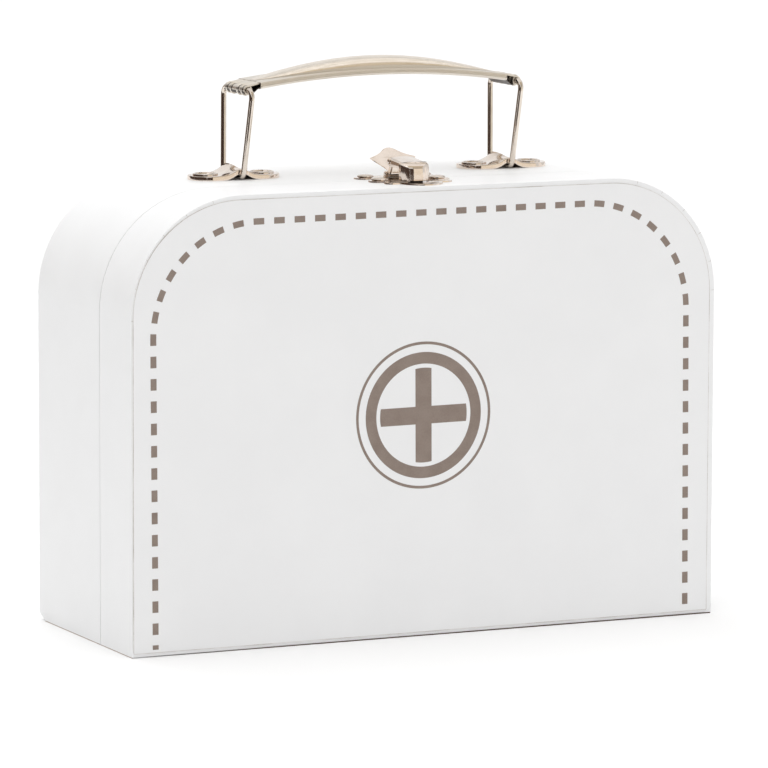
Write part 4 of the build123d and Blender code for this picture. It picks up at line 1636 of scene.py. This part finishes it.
@dataclass
class DrawLatch:
    """The latch: a plate on each side of the seam, the flared lever and the hook on their pins.

    Points are given as u across from the latch's middle, s behind the seam and h over the case's top.
    """

    middle_x: float = 2.3
    seam: float = -15.8
    top: float = 176.0
    plate: float = 0.5
    plate_crease: float = 40.0
    sheet: float = 0.6
    strike_centre: Point2 = (0.0, -13.4)
    strike_lobes: Lobes = (
        Box(-10.5, 10.5, -19.0, -0.5), Disc(0.0, -19.0, 8.6), Disc(-11.4, -16.4, 3.0), Disc(11.4, -16.4, 3.0),
        Disc(-12.9, -8.0, 4.3), Disc(12.9, -8.0, 4.3))
    strike_rim: Sequence[Point2] = (
        (0.0, 0.0), (0.0, 0.4), (0.12, 0.62), (0.45, 0.68), (0.8, 0.6), (1.3, 0.5))
    window: Box = Box(-6.6, 6.6, -17.05, -10.1)
    window_tongue: tuple[float, float, float] = (2.8, -14.5, -9.6)
    tongue_corner: float = 0.5
    tongue_heights: Point2 = (0.02, 0.46)
    catch_half: float = 2.6
    catch_profile: Sequence[Point2] = ((-15.3, 0.3), (-15.3, 1.4), (-14.9, 2.0), (-12.6, 2.0), (-12.6, 0.3))
    base_centre: Point2 = (0.0, 5.5)
    base_lobes: Lobes = (Box(-9.0, 9.0, 0.5, 10.5), Disc(-12.9, 5.6, 4.3), Disc(12.9, 5.6, 4.3))
    base_rim: Sequence[Point2] = ((0.0, 0.0), (0.0, 0.35), (0.12, 0.52), (0.4, 0.56), (0.75, 0.5))
    hollow: Box = Box(-5.1, 5.1, 0.7, 3.3)
    hollow_centre: Point2 = (0.0, 2.0)
    ear_half: float = 5.8
    ear_radius: float = 1.3
    ear_front: Point2 = (-1.0, 0.1)
    ear_back: Sequence[Point2] = ((1.6, 0.9), (2.6, 0.1))
    rivet_half: float = 12.4
    strike_rivets: Point2 = (-7.4, 2.5)
    base_rivets: Point2 = (5.6, 4.1)
    rivet_head: Sequence[Point2] = (
        (2.7, 0.3), (2.75, 0.62), (3.15, 0.7), (3.35, 0.9), (3.3, 1.2), (2.9, 1.5), (2.2, 1.7), (1.2, 1.82),
        (0.0, 1.86))
    rivet_shank: Point2 = (1.5, 0.4)
    rivet_clench: Sequence[Point2] = ((1.5, 0.1), (2.2, 0.15), (2.2, 0.5), (1.6, 0.62), (0.0, 0.66))
    lever_pin: Point2 = (1.6, 1.9)
    lever_pin_head: Sequence[Point2] = ((0.0, 0.45), (0.7, 0.42), (1.0, 0.2), (1.0, 0.0))
    lever_pin_shank: float = 0.7
    lever_half: float = 4.9
    barrel: float = 1.38
    barrel_bore: float = 0.8
    barrel_end: Point2 = (1.2, 0.15)
    bill_lift: float = 0.78
    bill_length: float = 8.0
    bill_angle: float = 39.0
    crease_angle: float = 29.0
    tongue_angle: float = 38.0
    tongue_bend: float = 2.4
    bill_side: Sequence[Point2] = ((-1.2, 4.9), (0.0, 4.9), (0.9, 4.9), (1.8, 5.0), (2.6, 5.5), (3.6, 6.3),
                                   (5.0, 7.45), (6.4, 8.6), (7.4, 9.4), (7.8, 9.72))
    tongue_side: Sequence[Point2] = ((0.0, 9.9), (0.2, 9.3), (0.6, 8.5), (1.3, 7.1), (2.05, 5.8), (2.8, 4.6),
                                     (3.65, 3.6), (4.4, 2.8), (5.0, 2.1), (5.35, 1.3), (5.5, 0.6))
    dish: float = 0.35
    dish_half: float = 9.0
    dish_steps: int = 12
    round_edge: float = 0.12
    cheek: float = 0.85
    cheek_half: float = 3.7
    hook_pin: Point2 = (-1.3, 7.0)
    hook_pin_gap: float = 0.1
    hook_pin_head: Sequence[Point2] = ((0.0, 0.4), (0.6, 0.38), (0.95, 0.2), (0.95, 0.0))
    hook_pin_shank: float = 0.45
    hook_rear: float = 5.6
    hook_nose: float = 6.35
    nose: float = -17.3
    nose_corner: float = 5.6
    wall_places: Sequence[float] = (-1.3, -3.0, -5.0, -7.0, -9.0, -10.0)
    skirt: float = -12.4
    flare: Sequence[Point3] = ((0.15, -11.0, 0.2), (0.5, -12.4, 0.3))
    hook_low: float = 0.9
    hook_lean: float = 0.02
    hook_side_low: float = 5.2
    hook_top: Point2 = (8.7, 7.35)
    hook_round: Point2 = (1.25, 2.3)
    spine_gap: float = 3.4
    spine_rise: float = 0.28
    wall_shares: Sequence[float] = (0.0, 0.5, 1.0)
    shoulder_steps: int = 6
    roof_shares: Sequence[float] = (0.35, 0.7, 1.0)
    hook_eye: Sequence[Point2] = ((0.5, 4.35), (1.5, 4.35), (1.6, 4.5), (1.6, 5.45), (1.45, 5.6), (1.05, 5.6),
                                  (0.95, 5.3), (0.5, 5.3))

    def build(self) -> None:
        """Makes every piece of the latch."""
        self.strike()
        self.catch()
        self.base()
        self.pin("headed_lever_pin", "lever_pin", Body.BASE, self.lever_pin, self.ear_half,
                 self.lever_pin_shank, self.lever_pin_head)
        self.rivets("strike", Body.LID, *self.strike_rivets)
        self.rivets("latch_base", Body.BASE, *self.base_rivets)
        self.lever()
        self.pin("headed_hook_pin", "hook_pin", Body.LEVER, self.hook_pin, self.hook_rear + self.hook_pin_gap,
                 self.hook_pin_shank, self.hook_pin_head)
        self.hook()

    def at(self, u: float, s: float, h: float) -> Point3:
        """A point of the latch in the part's frame."""
        return self.middle_x + u, self.seam + s, self.top + h

    def flat(self, outline: Sequence[Point2], height: float) -> list[Point3]:
        """An outline in u and s at a height."""
        return [self.at(u, s, height) for u, s in outline]

    def rimmed_plate(self, maker: Mesher, lobes: Lobes, centre: Point2, rim: Sequence[Point2], hole: Box,
                     hole_centre: Point2) -> None:
        """Adds a plate with a raised rim and a hole.

        Args:
            maker: what the plate is added to.
            lobes: the discs and boxes that the plate's outline goes round.
            centre: a point inside them all.
            rim: the rim's section as (inset, height), from the plate's foot to its flat.
            hole: the hole.
            hole_centre: a point inside it.
        """
        outline = radial_outline(lobes, centre, soften=3)
        inner = radial_outline((hole,), hole_centre)
        rows = [self.flat(inner, 0.0)]
        rows += [self.flat(toward(outline, centre, inset), height) for inset, height in rim]
        rows.append(self.flat(inner, self.plate))
        maker.grid(rows, ring=True, loop=True)

    def strike(self) -> None:
        """The scalloped plate on the lid, with its rim, its window and the tongue in it."""
        maker = Mesher()
        self.rimmed_plate(maker, self.strike_lobes, self.strike_centre, self.strike_rim, self.window,
                          self.strike_centre)
        half, front, back = self.window_tongue
        radius = self.tongue_corner
        tongue = arc((half - radius, front + radius), radius, 0, -90, 4)
        tongue += arc((radius - half, front + radius), radius, -90, -180, 4)
        tongue += [(-half, back), (half, back)]
        low, high = self.tongue_heights
        maker.prism(self.flat(tongue, low), (0.0, 0.0, high - low))
        maker.piece("scalloped_strike_plate", NICKEL, Body.LID, Slot.PLATE, ("strike_plate",),
                    crease_angle=self.plate_crease)

    def catch(self) -> None:
        """The catch behind the window that the hook's nose holds."""
        maker, half = Mesher(), self.catch_half
        maker.prism([self.at(-half, s, h) for s, h in self.catch_profile], (2 * half, 0.0, 0.0))
        # The catch is painted near black: shade under the hook's nose.
        maker.piece("strike_catch", DARK_SHADE_STEEL, Body.LID, Slot.PLATE)

    def base(self) -> None:
        """The plate on the base, with the two ears that hold the lever's pin."""
        maker = Mesher()
        self.rimmed_plate(maker, self.base_lobes, self.base_centre, self.base_rim, self.hollow,
                          self.hollow_centre)
        s = self.lever_pin[0]
        ear = [(s + self.ear_front[0], self.ear_front[1])]
        ear += arc(self.lever_pin, self.ear_radius, 190, -20, 20)
        ear += [(s + behind, h) for behind, h in self.ear_back]
        for side in (-1, 1):
            face = [self.at(side * (self.ear_half - self.sheet), a, b) for a, b in ear]
            maker.prism(face, (side * self.sheet, 0.0, 0.0))
        maker.piece("eared_base_plate", NICKEL, Body.BASE, Slot.PLATE, ("latch_base_plate",),
                    crease_angle=self.plate_crease)

    def pin(self, name: str, node: str, body: Body, place: Point2, half: float, shank: float,
            head: Sequence[Point2]) -> None:
        """A pin across the latch, with a head at each end.

        Args:
            name: the piece's name.
            node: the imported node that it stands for.
            body: the moving group that it rides on.
            place: its middle in s and h.
            half: half of the length between its heads.
            shank: the shank's radius.
            head: a head's section as (radius, distance past the shank), from its tip.
        """
        profile = [(radius, -half - past) for radius, past in head]
        profile += [(shank, -half), (shank, half)]
        profile += [(radius, half + past) for radius, past in reversed(head)]
        maker = Mesher()
        maker.lathe(profile, self.at(0.0, *place), "X", 28)
        maker.piece(name, NICKEL_RIVET, body, Slot.RIVET, (node,))

    def rivets(self, group: str, body: Body, setback: float, depth: float) -> None:
        """Two rivets through a plate, with the clenched tails inside.

        Args:
            group: the name of what they hold.
            body: the moving group that they ride on.
            setback: their place behind the seam.
            depth: how deep under the case's top they are clenched.
        """
        maker = Mesher()
        tail = [self.rivet_shank, *((radius, -depth - past) for radius, past in self.rivet_clench)]
        for side in (-1, 1):
            centre = self.at(side * self.rivet_half, setback, 0.0)
            maker.lathe(self.rivet_head, centre)
            maker.lathe(tail, centre, sides=24)
        maker.piece(f"{group}_rivets_struck", NICKEL_RIVET, body, Slot.RIVET, (f"{group}_rivets",))

    def slope_row(self, point: Point2, angle: float, half: float) -> list[Point3]:
        """A closed ring across the lever's dished sheet.

        Args:
            point: the sheet's underside at its edge, in s and h.
            angle: the slope there, in degrees.
            half: half of the width there.

        Returns:
            The ring's points.
        """
        lower, upper = [], []
        for i in range(self.dish_steps + 1):
            share = 2 * i / self.dish_steps - 1
            sag = self.dish * (1 - share * share) * min(half / self.dish_half, 1.0)
            edge = self.round_edge if i in (0, self.dish_steps) else 0.0
            for rise, out in ((edge, lower), (self.sheet - edge, upper)):
                s, h = up_slope(point, angle + 90, rise - sag)
                out.append(self.at(share * half, s, h))
        return lower + upper[::-1]

    def lever(self) -> None:
        """The flared lever: its bill and tongue, its barrel and the two cheeks that carry the hook's pin."""
        maker = Mesher()
        start = up_slope(self.lever_pin, self.bill_angle + 90, self.bill_lift)
        rows = [self.slope_row(up_slope(start, self.bill_angle, v), self.bill_angle, half)
                for v, half in self.bill_side]
        point, last = up_slope(start, self.bill_angle, self.bill_length), 0.0
        for v, half in self.tongue_side:
            angle = between(self.crease_angle, self.tongue_angle, min(v / self.tongue_bend, 1.0))
            point = up_slope(point, angle, v - last)
            rows.append(self.slope_row(point, angle, half))
            last = v
        maker.grid(rows, ring=True, caps=True)
        self.barrel_and_cheeks(maker)
        maker.piece("flared_lever", NICKEL, Body.LEVER, Slot.PLATE, ("latch_lever",), crease_angle=30.0)

    def barrel_and_cheeks(self, maker: Mesher) -> None:
        """Adds the lever's barrel round its pin, and the cheeks between that and the hook's pin.

        Args:
            maker: what they are added to.
        """
        half, (radius, chamfer) = self.lever_half, self.barrel_end
        barrel = [(self.barrel_bore, -half), (radius, -half), (self.barrel, chamfer - half),
                  (self.barrel, half - chamfer), (radius, half), (self.barrel_bore, half)]
        maker.lathe(barrel, self.at(0.0, *self.lever_pin), "X", 32)
        run_s, run_h = (far - near for far, near in zip(self.hook_pin, self.lever_pin))
        slope = math.degrees(math.atan2(run_h, run_s))
        cheek = [up_slope(self.lever_pin, slope + turn, self.cheek) for turn in (90, -90)]
        cheek += arc(self.hook_pin, self.cheek, slope - 90, slope + 90, 12)
        for side in (-1, 1):
            face = [self.at(side * self.cheek_half, s, h) for s, h in cheek]
            maker.prism(face, (side * self.sheet, 0.0, 0.0))

    def hook_plan(self) -> list[tuple[Point2, Point2]]:
        """The hook's left half from above.

        Returns:
            Points on its wall in u and s, each with the inward direction there.
        """
        plan = [((-self.hook_rear, s), (1.0, 0.0)) for s in self.wall_places]
        plan += [((-self.hook_rear - out, s), (1.0, -turn)) for out, s, turn in self.flare]
        radius = self.nose_corner
        centre = (radius - self.hook_nose, self.nose + radius)
        corner = arc(centre, radius, 180, 270, 10)
        inward = arc((0.0, 0.0), 1.0, 0, 90, 10)
        plan += list(zip(corner, inward))
        plan.append(((0.0, self.nose), (0.0, 1.0)))
        return plan

    def hook_row(self, point: Point2, inward: Point2, flip: float) -> list[Point3]:
        """The hook's sheet from the spine's underside, round the wall's foot, to the spine's top.

        Args:
            point: the place on the wall in u and s.
            inward: the inward direction there.
            flip: 1 for the left half, -1 for its mirror image.

        Returns:
            The sheet's section there.
        """
        u, s = point
        along = (s - self.nose) / (self.hook_pin[0] - self.nose)
        low = self.hook_low if s <= self.skirt else self.hook_side_low
        high = between(self.hook_top[1], self.hook_top[0], along)
        radius = between(*self.hook_round, max(inward[1], 0.0))
        spine = max(s, self.nose + self.spine_gap)

        def leaned(inset: float, height: float) -> Point2:
            """A point on the leaning wall, or inside it by an inset, in u and s."""
            inset += self.hook_lean * (height - self.hook_low)
            return u + inward[0] * inset, s + inward[1] * inset

        def wall(inset: float, height: float) -> Point3:
            """A point on the wall or its round shoulder."""
            wall_u, wall_s = leaned(inset, height)
            return self.at(flip * wall_u, wall_s, height)

        def roof(share: float, drop: float) -> Point3:
            """A point on the roof.

            Args:
                share: how far it is from the shoulder to the spine, from 0 to 1.
                drop: how far under the sheet's top it is.

            Returns:
                The point.
            """
            roof_u, roof_s = leaned(radius, high)
            height = high + self.spine_rise * (1 - (1 - share) ** 2) - drop
            return self.at(flip * between(roof_u, 0.0, share), between(roof_s, spine, share), height)

        sheets = []
        for drop in (self.sheet, 0.0):
            inner = radius - drop
            sheet = [wall(drop, between(low, high - radius, share)) for share in self.wall_shares]
            for step in range(1, self.shoulder_steps + 1):
                angle = math.radians(90 * step / self.shoulder_steps)
                sheet.append(wall(radius - inner * math.cos(angle), high - radius + inner * math.sin(angle)))
            sheets.append(sheet + [roof(share, drop) for share in self.roof_shares])
        under, over = sheets
        return under[::-1] + over

    def hook(self) -> None:
        """The hook: a rounded cap with a skirt round its nose, and an eye on each side for its pin."""
        plan, maker = self.hook_plan(), Mesher()
        rows = [self.hook_row(point, inward, 1.0) for point, inward in plan]
        rows += [self.hook_row(point, inward, -1.0) for point, inward in reversed(plan[:-1])]
        maker.grid(rows)
        wide = len(rows[0])
        last = len(maker.points) - wide
        maker.faces.append((*range(wide), *(last + i for i in reversed(range(wide)))))
        for side in (-1, 1):
            eye = [(radius, side * u) for radius, u in self.hook_eye]
            maker.lathe(eye, self.at(0.0, *self.hook_pin), "X", 32)
        maker.piece("capped_hook", NICKEL, Body.HOOK, Slot.PLATE, ("latch_hook",), crease_angle=38.0)


def main() -> None:
    """Loads the frame and builds every sub-assembly round it, in order."""
    logging.basicConfig(level=logging.INFO, format="%(name)s: %(message)s")
    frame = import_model()
    Studio().build()
    form = CaseForm()
    PaperWork(form, frame).build()
    FrontPrint(form).build()
    WireHandle(frame).build()
    DrawLatch().build()


if __name__ == "__main__":
    main()
